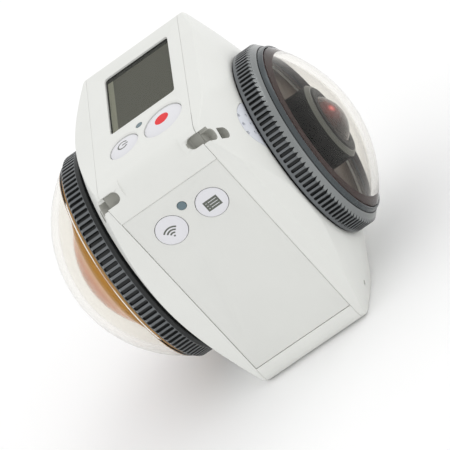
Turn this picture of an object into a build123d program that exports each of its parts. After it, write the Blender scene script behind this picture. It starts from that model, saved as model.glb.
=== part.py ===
from build123d import *
from math import atan2, cos, degrees, pi, radians, sin, sqrt
import os

# Pocket camera with a lens on each end face. Millimetres, +Z up, origin at the mouth of the
# tripod socket. The lens axis runs along Y: the front lens looks to -Y, the rear lens to +Y.
# The panel with two buttons is the -X side, the battery door the +X side. A depth is measured
# outwards along the lens axis from the middle of the body, unless a plane says otherwise.

os.makedirs("parts", exist_ok=True)

# Driving sizes of the body
body_width = 49.8
body_height = 54.9
lens_rise = 0.19
edge_radius = 3.2
seam_half = 11.5
seam_gap = 0.12
shell_wall = 1.7
frame_wall = 2.6
face_gap = 0.1
fit_gap = 0.12
cut_overrun = 1.0
least_corner_share = 0.2

front = -1
rear = 1
sides = (front, rear)
half_width = body_width / 2
lens_height = body_height / 2 + lens_rise
top_reach = body_height - lens_height
cover_room = min(half_width, top_reach)
frame_reach = seam_half - seam_gap / 2
lens_axis = Axis((0, 0, lens_height), (0, 1, 0))
outward_faces = (
    ((1, 0, 0), half_width),
    ((-1, 0, 0), half_width),
    ((0, 0, 1), top_reach),
    ((0, 0, -1), lens_height),
)

# Front shell: a cone about the lens axis meets four flat facets
front_flat_rise = 6.6
front_flat_inset = 2.9
front_facet_drop = 3.45
front_slope_share = 0.41
front_flat_depth = seam_half + front_flat_rise
front_flat_radius = cover_room - front_flat_inset
front_crease_depth = front_flat_depth - front_facet_drop

# Rear shell: the same cone idea, with a wider flat
rear_flat_rise = 5.5
rear_flat_inset = 1.1
rear_slope_share = 0.418
rear_flat_depth = seam_half + rear_flat_rise
rear_flat_radius = cover_room - rear_flat_inset

# Knurled rings
rib_count = 108
rib_height = 0.5
rib_width_share = 0.5
plain_rim = 0.7
rim_drop = 0.1
front_ring_inset = 3.85
front_ring_rise = 0.4
front_ring_length = 5.6
front_ring_bevel = 0.65
front_ring_wall = 2.05
front_ring_radius = cover_room - front_ring_inset
front_ring_start = front_flat_depth + front_ring_rise
front_ring_end = front_ring_start + front_ring_length
rear_ring_inset = 1.0
rear_ring_rise = 1.33
rear_ring_length = 3.42
rear_ring_bevel = 0.3
rear_ring_wall = 2.0
rear_ring_radius = cover_room - rear_ring_inset
rear_ring_start = rear_flat_depth + rear_ring_rise
rear_ring_end = rear_ring_start + rear_ring_length

# Collars that the rings turn on, with bayonet lugs near their ends
collar_wall = 1.4
turning_gap = 0.06
front_collar_sink = 2.5
rear_collar_sink = 1.25
lug_height = 0.5
lug_length = 0.9
lug_chord = 6.5
lug_count = 3
lug_sink = 0.6
lug_slack = 0.2
entry_turn = 30.0
front_collar_radius = front_ring_radius - front_ring_wall
front_collar_depth = front_ring_end - front_collar_sink
rear_collar_radius = rear_ring_radius - rear_ring_wall
rear_collar_depth = rear_ring_end - rear_collar_sink

# Clear domes, each a spherical shell with a flange in its ring
dome_wall = 1.5
seal_height = 0.6
gasket_gap = 0.08
gasket_inset_share = 0.2
front_flange_margin = 0.8
front_flange_sink = 1.3
front_flange_step = 0.05
front_foot_inset = 0.3
front_dome_rise = 7.01
front_bezel_rise = 0.4
front_bezel_margin = 0.4
front_flange_radius = front_collar_radius + front_flange_margin
front_flange_start = front_ring_end - front_flange_sink
front_dome_foot = front_collar_radius - front_foot_inset
front_bezel_radius = front_flange_radius + front_bezel_margin
front_bezel_end = front_ring_end + front_bezel_rise
rear_flange_margin = 1.1
rear_flange_sink = 0.45
rear_foot_step = 0.79
rear_dome_rise = 13.2
rear_bezel_rise = 0.25
rear_bezel_margin = 0.45
rear_flange_radius = rear_collar_radius + rear_flange_margin
rear_flange_start = rear_ring_end - rear_flange_sink
rear_dome_foot = rear_flange_radius - fit_gap / 2
rear_bezel_radius = rear_flange_radius + rear_bezel_margin
rear_bezel_end = rear_ring_end + rear_bezel_rise
rear_foot_depth = rear_bezel_end + rear_foot_step

# Lens carriers, round which both towers are built
carrier_sink = 0.5
carrier_thickness = 1.2
carrier_side_clearance = 1.8
carrier_top_clearance = 2.66
carrier_corner = 3.0
carrier_corner_gap = 0.3
carrier_spigot = 11.5
carrier_spigot_thickness = 0.9
carrier_depth = seam_half - carrier_sink
carrier_width = body_width - 2 * (frame_wall + carrier_side_clearance)
carrier_height = 2 * (top_reach - frame_wall - carrier_top_clearance)

# Lens towers under the domes
lens_seat = 0.8
front_tower_radius = 8.3
front_tower_bevel = 0.7
front_tower_tail = 1.2
front_rim_width = 3.0
front_seat_width = 1.3
front_lens_bulge = 2.4
front_lens_room = 0.71
lens_ring_inset = 0.3
lens_ring_height = 0.3
front_tower_foot = carrier_depth - front_tower_tail
front_lens_radius = front_tower_radius - front_rim_width
front_tower_bore = front_lens_radius - front_seat_width
front_tower_end = front_bezel_end + front_dome_rise - dome_wall - front_lens_bulge - front_lens_room
rear_dish_width = 6.8
rear_tower_radius = rear_collar_radius - face_gap - rear_dish_width
rear_tower_bevel = 0.5
rear_tower_tail = 2.8
rear_tail_radius = 10.0
rear_tail_wall = 4.0
rear_tail_rise = 0.8
rear_rim_width = 1.4
rear_lens_bulge = 6.2
rear_lens_room = 1.69
rear_tower_foot = carrier_depth - rear_tower_tail
rear_tail_end = carrier_depth + carrier_thickness + rear_tail_rise
rear_tower_bore = rear_tail_radius - rear_tail_wall
rear_lens_radius = rear_tower_radius - rear_rim_width
rear_tower_end = rear_foot_depth + rear_dome_rise - dome_wall - rear_lens_bulge - rear_lens_room

# Dished baffles round the towers
baffle_thickness = 0.6
baffle_rim = 1.4
tower_gap = 0.15
front_baffle_drop = 1.1
rear_baffle_drop = 1.4
front_baffle_radius = front_collar_radius - face_gap
rear_baffle_radius = rear_collar_radius - face_gap

# Image sensors behind the towers
sensor_board_size = 13.0
sensor_gap = 0.05
sensor_width = 9.0
sensor_height = 7.0
sensor_thickness = 1.0
board_thickness = 0.8

# Memory card and its socket, which set the main board's depth
card_length = 15.0
card_width = 11.0
card_thickness = 0.7
card_gap = 0.1
card_inset = 3.3
socket_wall = 0.4
socket_lead = 2.0
socket_clearance = 0.45
socket_thickness = card_thickness + 2 * card_gap + 2 * socket_wall
socket_height = card_width + 2 * card_gap + 2 * socket_wall

# Main board on edge, in front of the rear sensor
main_board_left_clearance = 7.4
main_board_right_clearance = 5.4
main_board_top_clearance = 8.1
main_board_low = 11.2
main_board_left = main_board_left_clearance - half_width
main_board_right = half_width - main_board_right_clearance
main_board_high = body_height - main_board_top_clearance
rear_sensor_back = rear_tower_foot - sensor_gap - sensor_thickness - board_thickness
board_back = rear_sensor_back - socket_thickness - socket_clearance
main_board_depth = board_back - board_thickness

# Sockets on the main board
port_inset = 3.5
port_wall = 0.35
port_throat_share = 0.7
usb_width = 7.5
usb_height = 2.8
usb_length = 5.0
hdmi_width = 6.6
hdmi_height = 2.7
hdmi_length = 6.5
port_spare = (main_board_high - main_board_low - usb_width - hdmi_width - socket_height) / 4
usb_z = main_board_low + port_spare + usb_width / 2
hdmi_z = usb_z + usb_width / 2 + port_spare + hdmi_width / 2
card_z = main_board_high - port_spare - socket_height / 2

# Battery, its tray and contacts, between the front sensor and the main board
battery_door_clearance = 3.1
battery_panel_clearance = 10.7
battery_top_clearance = 11.76
battery_edge = 1.0
tray_wall = 0.9
tray_gap = 0.2
tray_lip = 0.3
tray_front_clearance = 0.55
tray_rear_clearance = 0.6
contact_count = 3
contact_pitch = 3.0
contact_width = 1.2
contact_height = 2.2
contact_slack = 0.05
contact_room = 1.0
front_sensor_back = front_tower_foot - sensor_gap - sensor_thickness - board_thickness
tray_front = tray_front_clearance - front_sensor_back
tray_rear = main_board_depth - tray_rear_clearance
battery_thickness = tray_rear - tray_front - 2 * (tray_wall + tray_gap)
battery_y = (tray_front + tray_rear) / 2
battery_length = body_width - battery_door_clearance - battery_panel_clearance
battery_height = 2 * (top_reach - battery_top_clearance)

# Buttons on the top face
record_inset = 12.8
record_y = -4.9
record_radius = 4.45
power_inset = 13.1
power_y = 4.5
power_radius = 3.3
record_x = record_inset - half_width
power_x = power_inset - half_width
dish_margin = 0.45
dish_depth = 0.25
dish_taper = 55.0
dot_radius = 1.6
dot_thickness = 0.3

# Buttons on the side panel
panel_button_radius = 3.19
panel_button_drop = 14.25
menu_y = -4.91
wifi_y = 4.79
panel_button_z = body_height - panel_button_drop

# What all four buttons share
button_gap = 0.13
button_proud = 0.2
button_edge = 0.15
button_play = 0.1
flange_margin = 0.55
flange_thickness = 0.6
plunger_radius = 1.0
plunger_length = 1.25
switch_radius = 1.7
switch_height = 0.5
switch_taper = 20.0
button_board_depth = 5.5
top_board_clearance = 6.4
top_board_width = 18.0
top_board_x = 0.5
top_board_y = -1.0
top_board_length = body_width - 2 * top_board_clearance
side_board_width = 17.0
side_board_height = 11.0
side_board_drop = 15.9
side_board_z = body_height - side_board_drop

# Display window and module on the top face, beside the buttons
window_button_clearance = 2.79
window_door_clearance = 7.56
window_width = 15.7
window_corner = 0.8
window_y = -0.70
window_sink = 0.3
window_thickness = 1.0
window_ledge = 0.8
module_margin = 0.9
module_depth = 2.9
display_sink = 1.6
window_left = record_x + record_radius + window_button_clearance
window_right = half_width - window_door_clearance
window_length = window_right - window_left
window_middle = ((window_left + window_right) / 2, window_y)

# Light pipes
top_light_offset = 3.73
top_light_y = 0.4
top_light_radius = 0.8
side_light_drop = 11.2
side_light_radius = 1.0
light_head_margin = 0.4
top_light_x = record_x + top_light_offset
side_light_z = body_height - side_light_drop

# Side panel on the -X face, with its coil
panel_low = 4.93
panel_drop = 7.28
panel_thickness = 1.2
panel_edge = 0.2
coil_size = 17.0
coil_band = 2.5
coil_thickness = 0.15
coil_rise = 15.07
panel_high = body_height - panel_drop
panel_middle = (panel_low + panel_high) / 2
coil_z = panel_low + coil_rise

# Strap loops at the corner between the top and the -X face
strap_width = 2.9
strap_start = 9.2
strap_run = 7.8
strap_tilt = 35.0
strap_pocket = 1.9
strap_floor_rise = 0.9
strap_bar_height = 0.8
strap_reach = 6.0
strap_corner_share = 0.4
strap_bar_outset = 0.5
strap_bar_inset = 1.8
strap_hole_inset = 4.6
strap_boss_inset = 6.1
strap_boss_width = 8.0
corner_x = half_width - edge_radius
corner_z = top_reach - edge_radius
corner_reach = sqrt(corner_x**2 + corner_z**2)
strap_angle = degrees(atan2(corner_z, -corner_x))
strap_bar_outer = corner_reach - strap_bar_outset
strap_bar_inner = corner_reach - strap_bar_inset
strap_hole_inner = corner_reach - strap_hole_inset
strap_boss_inner = corner_reach - strap_boss_inset
strap_floor_depth = seam_half + strap_floor_rise
strap_bar_depth = strap_floor_depth + strap_bar_height

# Battery door on the +X face, its hinge and gasket
door_low = 7.6
door_drop = 6.7
door_front_inset = 3.45
door_pivot_inset = 2.7
door_gap = 0.15
door_thickness = 1.6
knuckle_radius = 1.1
hinge_pin_radius = 0.5
hinge_pin_gap = 0.05
hinge_pin_reach = 1.6
gasket_thickness = 0.4
gasket_band = 0.8
gasket_inset = 0.3
ledge_width = 1.3
hinge_ledge_width = 1.85
door_high = body_height - door_drop
door_front = door_front_inset - seam_half
door_pivot_y = seam_half - door_pivot_inset
hinge_ledge_end = door_pivot_y - hinge_ledge_width
pivot_x = half_width - knuckle_radius
door_span = door_pivot_y - door_front
door_middle_y = (door_pivot_y + door_front) / 2
door_middle_z = (door_low + door_high) / 2

# Sliding lock in the door
lock_height = 6.0
lock_width = 2.3
lock_depth = 0.9
lock_travel = 1.5
lock_inset = 2.05
lock_gap = 0.1
tongue_height = 2.0
tongue_thickness = 0.5
lock_rib_height = 0.15
lock_rib_count = 3
lock_front = door_front + lock_inset
tongue_level = lock_depth / 2

# Aerial under the top board
antenna_length = 18.0
antenna_width = 4.0
antenna_thickness = 0.3
antenna_x = -6.0
antenna_y = -7.0

# Speaker grille, speaker and microphone at the front shell
grille_angle = 130.6
grille_outset = 0.22
grille_radius = 5.3
grille_thickness = 0.8
grille_pitch = 2.05
grille_hole_radius = 0.4
grille_rows = 2
grille_columns = 3
grille_row_outset = 0.75
speaker_radius = 4.4
speaker_height = 2.6
mic_side_inset = 6.9
mic_base_inset = 3.44
mic_flat_clearance = 8.16
mic_angle = 53.36
mic_hole_radius = 0.5
mic_radius = 1.6
mic_height = 1.5
grille_reach = front_collar_radius + grille_outset
grille_x = grille_reach * cos(radians(grille_angle))
grille_z = grille_reach * sin(radians(grille_angle))
grille_row_radius = front_ring_radius + grille_row_outset
mic_reach = front_flat_radius + mic_flat_clearance
mic_x = -min(mic_reach * cos(radians(mic_angle)), half_width - mic_side_inset)
mic_z = -min(mic_reach * sin(radians(mic_angle)), lens_height - mic_base_inset)

# Tripod socket, quarter-inch thread
socket_bore = 2.6
socket_radius = 4.4
socket_flange_radius = 5.6
socket_flange_thickness = 1.0
socket_depth = 6.2
boss_radius = 7.4
boss_height = 7.0

# Screws that hold the carriers to posts in the frame
screw_radius = 0.7
screw_head_radius = 1.4
screw_head_height = 0.8
screw_length = 4.5
screw_gap = 0.08
screw_side_inset = 3.3
screw_end_inset = 4.0
post_radius = 1.6
post_length = 3.4
post_rib = 1.6
post_rib_length = 2.2
screw_x = carrier_width / 2 - screw_side_inset
screw_z = carrier_height / 2 - screw_end_inset
screw_spots = [(screw_x * x, screw_z * z) for x in sides for z in sides]

# Locating tongues between frame and shells
tongue_length = 1.0
tongue_wall = 0.8
tongue_span_share = 0.55


def lens_plane(side, depth):
    """Plane square to the lens axis at a depth from the middle, facing outwards."""
    return Plane(origin=(0, side * depth, lens_height), x_dir=(-side, 0, 0), z_dir=(0, side, 0))


def section_plane(side):
    """Plane for profiles of radius and depth that are turned about the lens axis."""
    return Plane(origin=(0, 0, lens_height), x_dir=(0, 0, 1), z_dir=(-side, 0, 0))


def top_plane(depth):
    """Plane at a depth below the top face, facing up."""
    return Plane.XY.offset(body_height - depth)


def panel_plane(depth):
    """Plane at a depth inside the -X face, facing out. Its x runs to the front."""
    return Plane(origin=(depth - half_width, 0, 0), x_dir=(0, -1, 0), z_dir=(-1, 0, 0))


def door_plane(depth):
    """Plane at a depth inside the +X face, facing out. Its x runs to the rear."""
    return Plane(origin=(half_width - depth, 0, 0), x_dir=(0, 1, 0), z_dir=(1, 0, 0))


def turned(side, *points):
    """Turn a closed outline of (radius, depth) points about the lens axis."""
    with BuildPart() as body:
        with BuildSketch(section_plane(side)):
            with BuildLine():
                Polyline(*points, close=True)
            make_face()
        revolve(axis=lens_axis)
    return body.part


def body_outline(plane, inset):
    """Rounded outline of the body on a lens plane, drawn in by an inset."""
    with BuildSketch(plane) as outline:
        with Locations((0, -lens_rise)):
            corner = max(edge_radius - inset, edge_radius * least_corner_share)
            RectangleRounded(body_width - 2 * inset, body_height - 2 * inset, corner)
    return outline.sketch


def shell_form(side, flat_depth, flat_radius, slope_share, inset):
    """Closed form of an end shell: the body's outline under a cone about the lens axis."""
    base_depth = seam_half + seam_gap / 2
    reach = body_height
    rim_depth = flat_depth - inset - slope_share * (reach - flat_radius)
    with BuildPart() as form:
        extrude(body_outline(lens_plane(side, base_depth), inset), amount=flat_depth)
        with BuildSketch(section_plane(side)):
            with BuildLine():
                Polyline(
                    (0, -reach),
                    (reach, -reach),
                    (reach, rim_depth),
                    (flat_radius, flat_depth - inset),
                    (0, flat_depth - inset),
                    close=True,
                )
            make_face()
        revolve(axis=lens_axis, mode=Mode.INTERSECT)
    return form.part


def facet_wedge(face, half, inset):
    """Wedge outside one flat facet of the front shell, from its crease to the round flat."""
    depth_dir = Vector(0, front, 0)
    outward = Vector(*face)
    top = front_flat_depth + cut_overrun
    crease = (half - inset, front_crease_depth - inset)
    foot = (front_flat_radius - inset, front_flat_depth - inset)
    with BuildPart() as wedge:
        with BuildSketch(Plane((0, 0, lens_height), x_dir=outward, z_dir=outward.cross(depth_dir))):
            with BuildLine():
                Polyline(
                    crease,
                    foot,
                    (foot[0], top),
                    (half + cut_overrun, top),
                    (half + cut_overrun, crease[1]),
                    close=True,
                )
            make_face()
        extrude(amount=body_height, both=True)
    return wedge.part


def front_form(inset):
    """Closed form of the front shell with its facets, drawn in by an inset."""
    with BuildPart() as form:
        add(shell_form(front, front_flat_depth, front_flat_radius, front_slope_share, inset))
        for face, half in outward_faces:
            add(facet_wedge(face, half, inset), mode=Mode.SUBTRACT)
    return form.part


def rear_form(inset):
    """Closed form of the rear shell, drawn in by an inset."""
    return shell_form(rear, rear_flat_depth, rear_flat_radius, rear_slope_share, inset)


def strap_plane(side, depth):
    """Plane square to the lens axis whose x runs out along the strap loop's direction."""
    outward = (cos(radians(strap_angle)), 0, sin(radians(strap_angle)))
    return Plane(origin=(0, side * depth, lens_height), x_dir=outward, z_dir=(0, side, 0))


def strap_boss(side, form, end_depth):
    """Solid corner behind a strap loop, which gives the loop its floor."""
    with BuildPart() as boss:
        add(form)
        with BuildSketch(strap_plane(side, seam_half)):
            with Locations((strap_boss_inner, 0)):
                Rectangle(body_height, strap_boss_width, align=(Align.MIN, Align.CENTER))
        extrude(amount=end_depth, mode=Mode.INTERSECT)
    return boss.part


def strap_cut(side):
    """Pocket along the rounded edge, an open slot and a hole on the cone, and the way under the bar."""
    tilt = radians(strap_tilt)
    normal = (-cos(tilt), 0, sin(tilt))
    surface = (
        edge_radius - half_width + edge_radius * normal[0],
        0,
        body_height - edge_radius + edge_radius * normal[2],
    )
    hole_middle = (strap_hole_inner + strap_bar_inner) / 2
    with BuildPart() as cut:
        with BuildSketch(Plane(surface, x_dir=(0, 1, 0), z_dir=normal)):
            with Locations((side * (strap_start + strap_run / 2), 0)):
                SlotOverall(strap_run, strap_width)
        extrude(amount=-strap_pocket)
        with BuildSketch(Plane(surface, x_dir=(0, 1, 0), z_dir=normal)):
            with Locations((side * (strap_start + strap_run / 2), 0)):
                SlotOverall(strap_run, strap_width)
        extrude(amount=cut_overrun)
        with BuildSketch(strap_plane(side, strap_floor_depth)):
            with Locations((strap_bar_outer, 0)):
                Rectangle(strap_reach, strap_width, align=(Align.MIN, Align.CENTER))
            with Locations((hole_middle, 0)):
                RectangleRounded(strap_bar_inner - strap_hole_inner, strap_width, strap_width * strap_corner_share)
        extrude(amount=strap_reach)
        with BuildSketch(strap_plane(side, strap_floor_depth)):
            with Locations((hole_middle, 0)):
                Rectangle(
                    strap_bar_outer - hole_middle + cut_overrun,
                    strap_width - 2 * button_gap,
                    align=(Align.MIN, Align.CENTER),
                )
        extrude(amount=strap_bar_depth - strap_floor_depth)
    return cut.part


def collar(side, flat_depth, radius, end_depth):
    """Round collar on a shell's flat, with bayonet lugs that hold the turning cover."""
    with BuildPart() as ring:
        with BuildSketch(lens_plane(side, flat_depth - shell_wall)):
            Circle(radius)
            Circle(radius - collar_wall, mode=Mode.SUBTRACT)
        extrude(amount=end_depth - flat_depth + shell_wall)
        with BuildSketch(lens_plane(side, end_depth - lug_sink - lug_length)):
            with PolarLocations(radius, lug_count):
                Rectangle(2 * lug_height, lug_chord)
            Circle(radius + lug_height, mode=Mode.INTERSECT)
            Circle(radius - collar_wall / 2, mode=Mode.SUBTRACT)
        extrude(amount=lug_length)
    return ring.part


def front_disc(x, z, radius, depth, thickness):
    """Flat disc parallel to the front face, behind a depth from the middle."""
    with BuildPart() as disc:
        with BuildSketch(lens_plane(front, depth)):
            with Locations((x, z)):
                Circle(radius)
        extrude(amount=thickness)
    return disc.part


def save(part, name):
    """Label a finished piece and write it under its name."""
    part.label = name
    export_step(part, f"parts/{name}.step")


def grille_form(radius, inset):
    """Skin of the front shell inside the grille's circle, outside the collar."""
    with BuildPart() as skin:
        add(front_form(0))
        add(front_form(inset), mode=Mode.SUBTRACT)
        with BuildSketch(lens_plane(front, 0)):
            with Locations((grille_x, grille_z)):
                Circle(radius)
        extrude(amount=front_flat_depth + cut_overrun, mode=Mode.INTERSECT)
        with BuildSketch(lens_plane(front, 0)):
            Circle(front_collar_radius + lug_height + face_gap)
        extrude(amount=front_flat_depth + cut_overrun, mode=Mode.SUBTRACT)
    return skin.part


# Front shell: moulded, hollow, with facets, collar, grille seat, microphone hole and strap loop
with BuildPart() as front_shell:
    add(front_form(0))
    add(front_form(shell_wall), mode=Mode.SUBTRACT)
    add(strap_boss(front, front_form(0), front_flat_depth))
    with BuildSketch(lens_plane(front, 0)):
        Circle(front_collar_radius - collar_wall)
    extrude(amount=front_flat_depth + cut_overrun, mode=Mode.SUBTRACT)
    add(collar(front, front_flat_depth, front_collar_radius, front_collar_depth))
    add(strap_cut(front), mode=Mode.SUBTRACT)
    add(grille_form(grille_radius + face_gap, grille_thickness), mode=Mode.SUBTRACT)
    with BuildSketch(lens_plane(front, 0)):
        with Locations((mic_x, mic_z)):
            Circle(mic_hole_radius)
    extrude(amount=front_flat_depth, mode=Mode.SUBTRACT)
save(front_shell.part, "front_shell")

# Speaker grille: a perforated disc let into the shell, partly under the front ring
with BuildPart() as speaker_grille:
    add(grille_form(grille_radius, grille_thickness))
    row_plane = Plane(
        origin=(0, 0, lens_height),
        x_dir=(grille_x, 0, grille_z),
        z_dir=(0, front, 0),
    )
    with BuildSketch(row_plane):
        with Locations((grille_row_radius + grille_pitch / 2, 0)):
            with GridLocations(grille_pitch, grille_pitch, grille_rows, grille_columns):
                Circle(grille_hole_radius)
    extrude(amount=front_flat_depth + cut_overrun, mode=Mode.SUBTRACT)
save(speaker_grille.part, "speaker_grille")

# Speaker and microphone, glued to the back of the front shell's wall
speaker_depth = front_flat_depth - shell_wall - speaker_height
with BuildPart() as speaker:
    add(front_disc(grille_x, grille_z, speaker_radius, speaker_depth, speaker_height))
    add(front_form(shell_wall), mode=Mode.INTERSECT)
save(speaker.part, "speaker")

with BuildPart() as microphone:
    add(front_disc(mic_x, mic_z, mic_radius, seam_half, mic_height))
    add(front_form(shell_wall), mode=Mode.INTERSECT)
save(microphone.part, "microphone")

# Rear shell: the same moulding without facets, with a wider collar
with BuildPart() as rear_shell:
    add(rear_form(0))
    add(rear_form(shell_wall), mode=Mode.SUBTRACT)
    add(strap_boss(rear, rear_form(0), rear_flat_depth))
    with BuildSketch(lens_plane(rear, 0)):
        Circle(rear_collar_radius - collar_wall)
    extrude(amount=rear_flat_depth + cut_overrun, mode=Mode.SUBTRACT)
    add(collar(rear, rear_flat_depth, rear_collar_radius, rear_collar_depth))
    add(strap_cut(rear), mode=Mode.SUBTRACT)
save(rear_shell.part, "rear_shell")

# Middle frame: a band round the body with recesses and holes for all that is set in it
with BuildPart() as mid_frame:
    extrude(body_outline(lens_plane(front, -frame_reach), 0), amount=2 * frame_reach)
    extrude(
        body_outline(lens_plane(front, -frame_reach), frame_wall),
        amount=2 * frame_reach,
        mode=Mode.SUBTRACT,
    )
    # Tongues that locate the two shells
    tongue_inset = shell_wall + face_gap + tongue_wall / 2
    tongue_run = 2 * (seam_half + tongue_length)
    with BuildSketch(lens_plane(front, -seam_half - tongue_length)):
        with Locations((0, -lens_rise)):
            with GridLocations(body_width - 2 * tongue_inset, 0, 2, 1):
                Rectangle(tongue_wall, body_height * tongue_span_share)
            with GridLocations(0, body_height - 2 * tongue_inset, 1, 2):
                Rectangle(body_width * tongue_span_share, tongue_wall)
    extrude(amount=tongue_run)
    # Recess and hole for the side panel and its coil
    with BuildSketch(panel_plane(0)):
        with Locations((0, panel_middle)):
            Rectangle(body_width, panel_high - panel_low + 2 * face_gap)
    extrude(amount=-panel_thickness - coil_thickness, mode=Mode.SUBTRACT)
    # Display window: a recess, a ledge and the hole below it
    with BuildSketch(top_plane(0)):
        with Locations(window_middle):
            RectangleRounded(window_length, window_width, window_corner)
    extrude(amount=-window_sink - window_thickness, mode=Mode.SUBTRACT)
    with BuildSketch(top_plane(0)):
        with Locations(window_middle):
            Rectangle(window_length - 2 * window_ledge, window_width - 2 * window_ledge)
    extrude(amount=-frame_wall, mode=Mode.SUBTRACT)
    # Record and power buttons on top, each in a shallow dish
    for x, y, radius in ((record_x, record_y, record_radius), (power_x, power_y, power_radius)):
        with BuildSketch(top_plane(0)):
            with Locations((x, y)):
                Circle(radius + button_gap)
        extrude(amount=-frame_wall, mode=Mode.SUBTRACT)
        with BuildSketch(top_plane(0)):
            with Locations((x, y)):
                Circle(radius + dish_margin)
        extrude(amount=-dish_depth, taper=dish_taper, mode=Mode.SUBTRACT)
    with BuildSketch(top_plane(0)):
        with Locations((top_light_x, top_light_y)):
            Circle(top_light_radius)
    extrude(amount=-frame_wall, mode=Mode.SUBTRACT)
    # Menu and wireless buttons and the light on the side
    with BuildSketch(panel_plane(0)):
        with Locations((-menu_y, panel_button_z), (-wifi_y, panel_button_z)):
            Circle(panel_button_radius + button_gap)
        with Locations((0, side_light_z)):
            Circle(side_light_radius)
    extrude(amount=-frame_wall, mode=Mode.SUBTRACT)
    # Doorway on the other side, with a ledge for the gasket and a round relief for the hinge
    door_sink = door_thickness + gasket_thickness + face_gap
    with BuildSketch(door_plane(0)):
        with Locations((door_middle_y, door_middle_z)):
            Rectangle(door_span + 2 * door_gap, door_high - door_low + 2 * door_gap)
    extrude(amount=-door_sink, mode=Mode.SUBTRACT)
    hole_front = door_front + ledge_width
    with BuildSketch(door_plane(0)):
        with Locations((hole_front, door_middle_z)):
            Rectangle(
                hinge_ledge_end - hole_front,
                door_high - door_low - 2 * ledge_width,
                align=(Align.MIN, Align.CENTER),
            )
    extrude(amount=-frame_wall, mode=Mode.SUBTRACT)
    with BuildSketch(Plane.XY.offset(door_low - door_gap)):
        with Locations((pivot_x, door_pivot_y)):
            Circle(knuckle_radius + door_gap)
        with Locations((pivot_x, door_pivot_y)):
            Rectangle(
                body_width,
                knuckle_radius + door_gap,
                align=(Align.MIN, Align.MIN),
            )
    extrude(amount=door_high - door_low + 2 * door_gap, mode=Mode.SUBTRACT)
    with BuildSketch(Plane.XY.offset(door_low - hinge_pin_reach)):
        with Locations((pivot_x, door_pivot_y)):
            Circle(hinge_pin_radius + hinge_pin_gap)
    extrude(amount=door_high - door_low + 2 * hinge_pin_reach, mode=Mode.SUBTRACT)
    # Pocket that the door lock's tongue slides into
    pocket_depth = lock_travel + lock_gap
    with BuildSketch(door_plane(tongue_level - tongue_thickness / 2 - lock_gap)):
        with Locations((door_front, door_middle_z)):
            Rectangle(
                pocket_depth + door_gap,
                tongue_height + 2 * lock_gap,
                align=(Align.MAX, Align.CENTER),
            )
    extrude(amount=-tongue_thickness - 2 * lock_gap, mode=Mode.SUBTRACT)
    # Posts for the carrier screws, each tied to the side wall by a short rib
    post_start = carrier_depth - sensor_gap
    for side in sides:
        with BuildSketch(lens_plane(side, post_start)):
            with Locations(*screw_spots):
                Circle(post_radius)
        extrude(amount=-post_length)
        with BuildSketch(lens_plane(side, post_start)):
            for x, z in screw_spots:
                wall_x = x / screw_x * (half_width - frame_wall + face_gap)
                with Locations(((x + wall_x) / 2, z)):
                    Rectangle(abs(wall_x - x), post_rib)
        extrude(amount=-post_rib_length)
        with BuildSketch(lens_plane(side, post_start)):
            with Locations(*screw_spots):
                Circle(screw_radius + screw_gap)
        extrude(amount=-post_length, mode=Mode.SUBTRACT)
    # Boss for the tripod socket
    with BuildSketch(Plane.XY):
        Circle(boss_radius)
    extrude(amount=boss_height)
    with BuildSketch(Plane.XY):
        Circle(socket_radius)
    extrude(amount=boss_height, mode=Mode.SUBTRACT)
    with BuildSketch(Plane.XY):
        Circle(socket_flange_radius)
    extrude(amount=socket_flange_thickness, mode=Mode.SUBTRACT)
    add(strap_cut(front), mode=Mode.SUBTRACT)
    add(strap_cut(rear), mode=Mode.SUBTRACT)
save(mid_frame.part, "mid_frame")

# Tripod socket: a flanged metal insert with a blind bore
with BuildPart() as tripod_insert:
    with BuildSketch(Plane.XY):
        Circle(socket_flange_radius - face_gap)
    extrude(amount=socket_flange_thickness)
    with BuildSketch(Plane.XY.offset(socket_flange_thickness)):
        Circle(socket_radius - face_gap)
    extrude(amount=boss_height - socket_flange_thickness)
    with BuildSketch(Plane.XY):
        Circle(socket_bore)
    extrude(amount=socket_depth, mode=Mode.SUBTRACT)
save(tripod_insert.part, "tripod_insert")

# Side panel: a thin plate with round holes, its front edges eased
with BuildPart() as side_panel:
    with BuildSketch(panel_plane(panel_thickness)):
        with Locations((0, panel_middle)):
            Rectangle(2 * frame_reach, panel_high - panel_low)
    extrude(amount=panel_thickness)
    chamfer(side_panel.faces().sort_by(Axis.X)[0].edges(), length=panel_edge)
    with BuildSketch(panel_plane(0)):
        with Locations((-menu_y, panel_button_z), (-wifi_y, panel_button_z)):
            Circle(panel_button_radius + button_gap)
        with Locations((0, side_light_z)):
            Circle(side_light_radius)
    extrude(amount=-panel_thickness, mode=Mode.SUBTRACT)
save(side_panel.part, "side_panel")

# Short-range antenna coil on the back of the panel
with BuildPart() as nfc_coil:
    with BuildSketch(panel_plane(panel_thickness)):
        with Locations((0, coil_z)):
            Rectangle(coil_size, coil_size)
            Rectangle(coil_size - 2 * coil_band, coil_size - 2 * coil_band, mode=Mode.SUBTRACT)
    extrude(amount=-coil_thickness)
save(nfc_coil.part, "nfc_coil")

# Display: a clear window on the frame's ledge and the module below it
with BuildPart() as lcd_window:
    with BuildSketch(top_plane(window_sink)):
        with Locations(window_middle):
            RectangleRounded(
                window_length - 2 * fit_gap,
                window_width - 2 * fit_gap,
                window_corner,
            )
    extrude(amount=-window_thickness)
save(lcd_window.part, "lcd_window")

with BuildPart() as lcd_module:
    with BuildSketch(top_plane(module_depth)):
        with Locations(window_middle):
            Rectangle(window_length + 2 * module_margin, window_width + 2 * module_margin)
    extrude(amount=module_depth - button_board_depth)
    with BuildSketch(top_plane(display_sink)):
        with Locations(window_middle):
            Rectangle(
                window_length - 2 * window_ledge - 2 * fit_gap,
                window_width - 2 * window_ledge - 2 * fit_gap,
            )
    extrude(amount=display_sink - module_depth)
save(lcd_module.part, "lcd_module")


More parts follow.
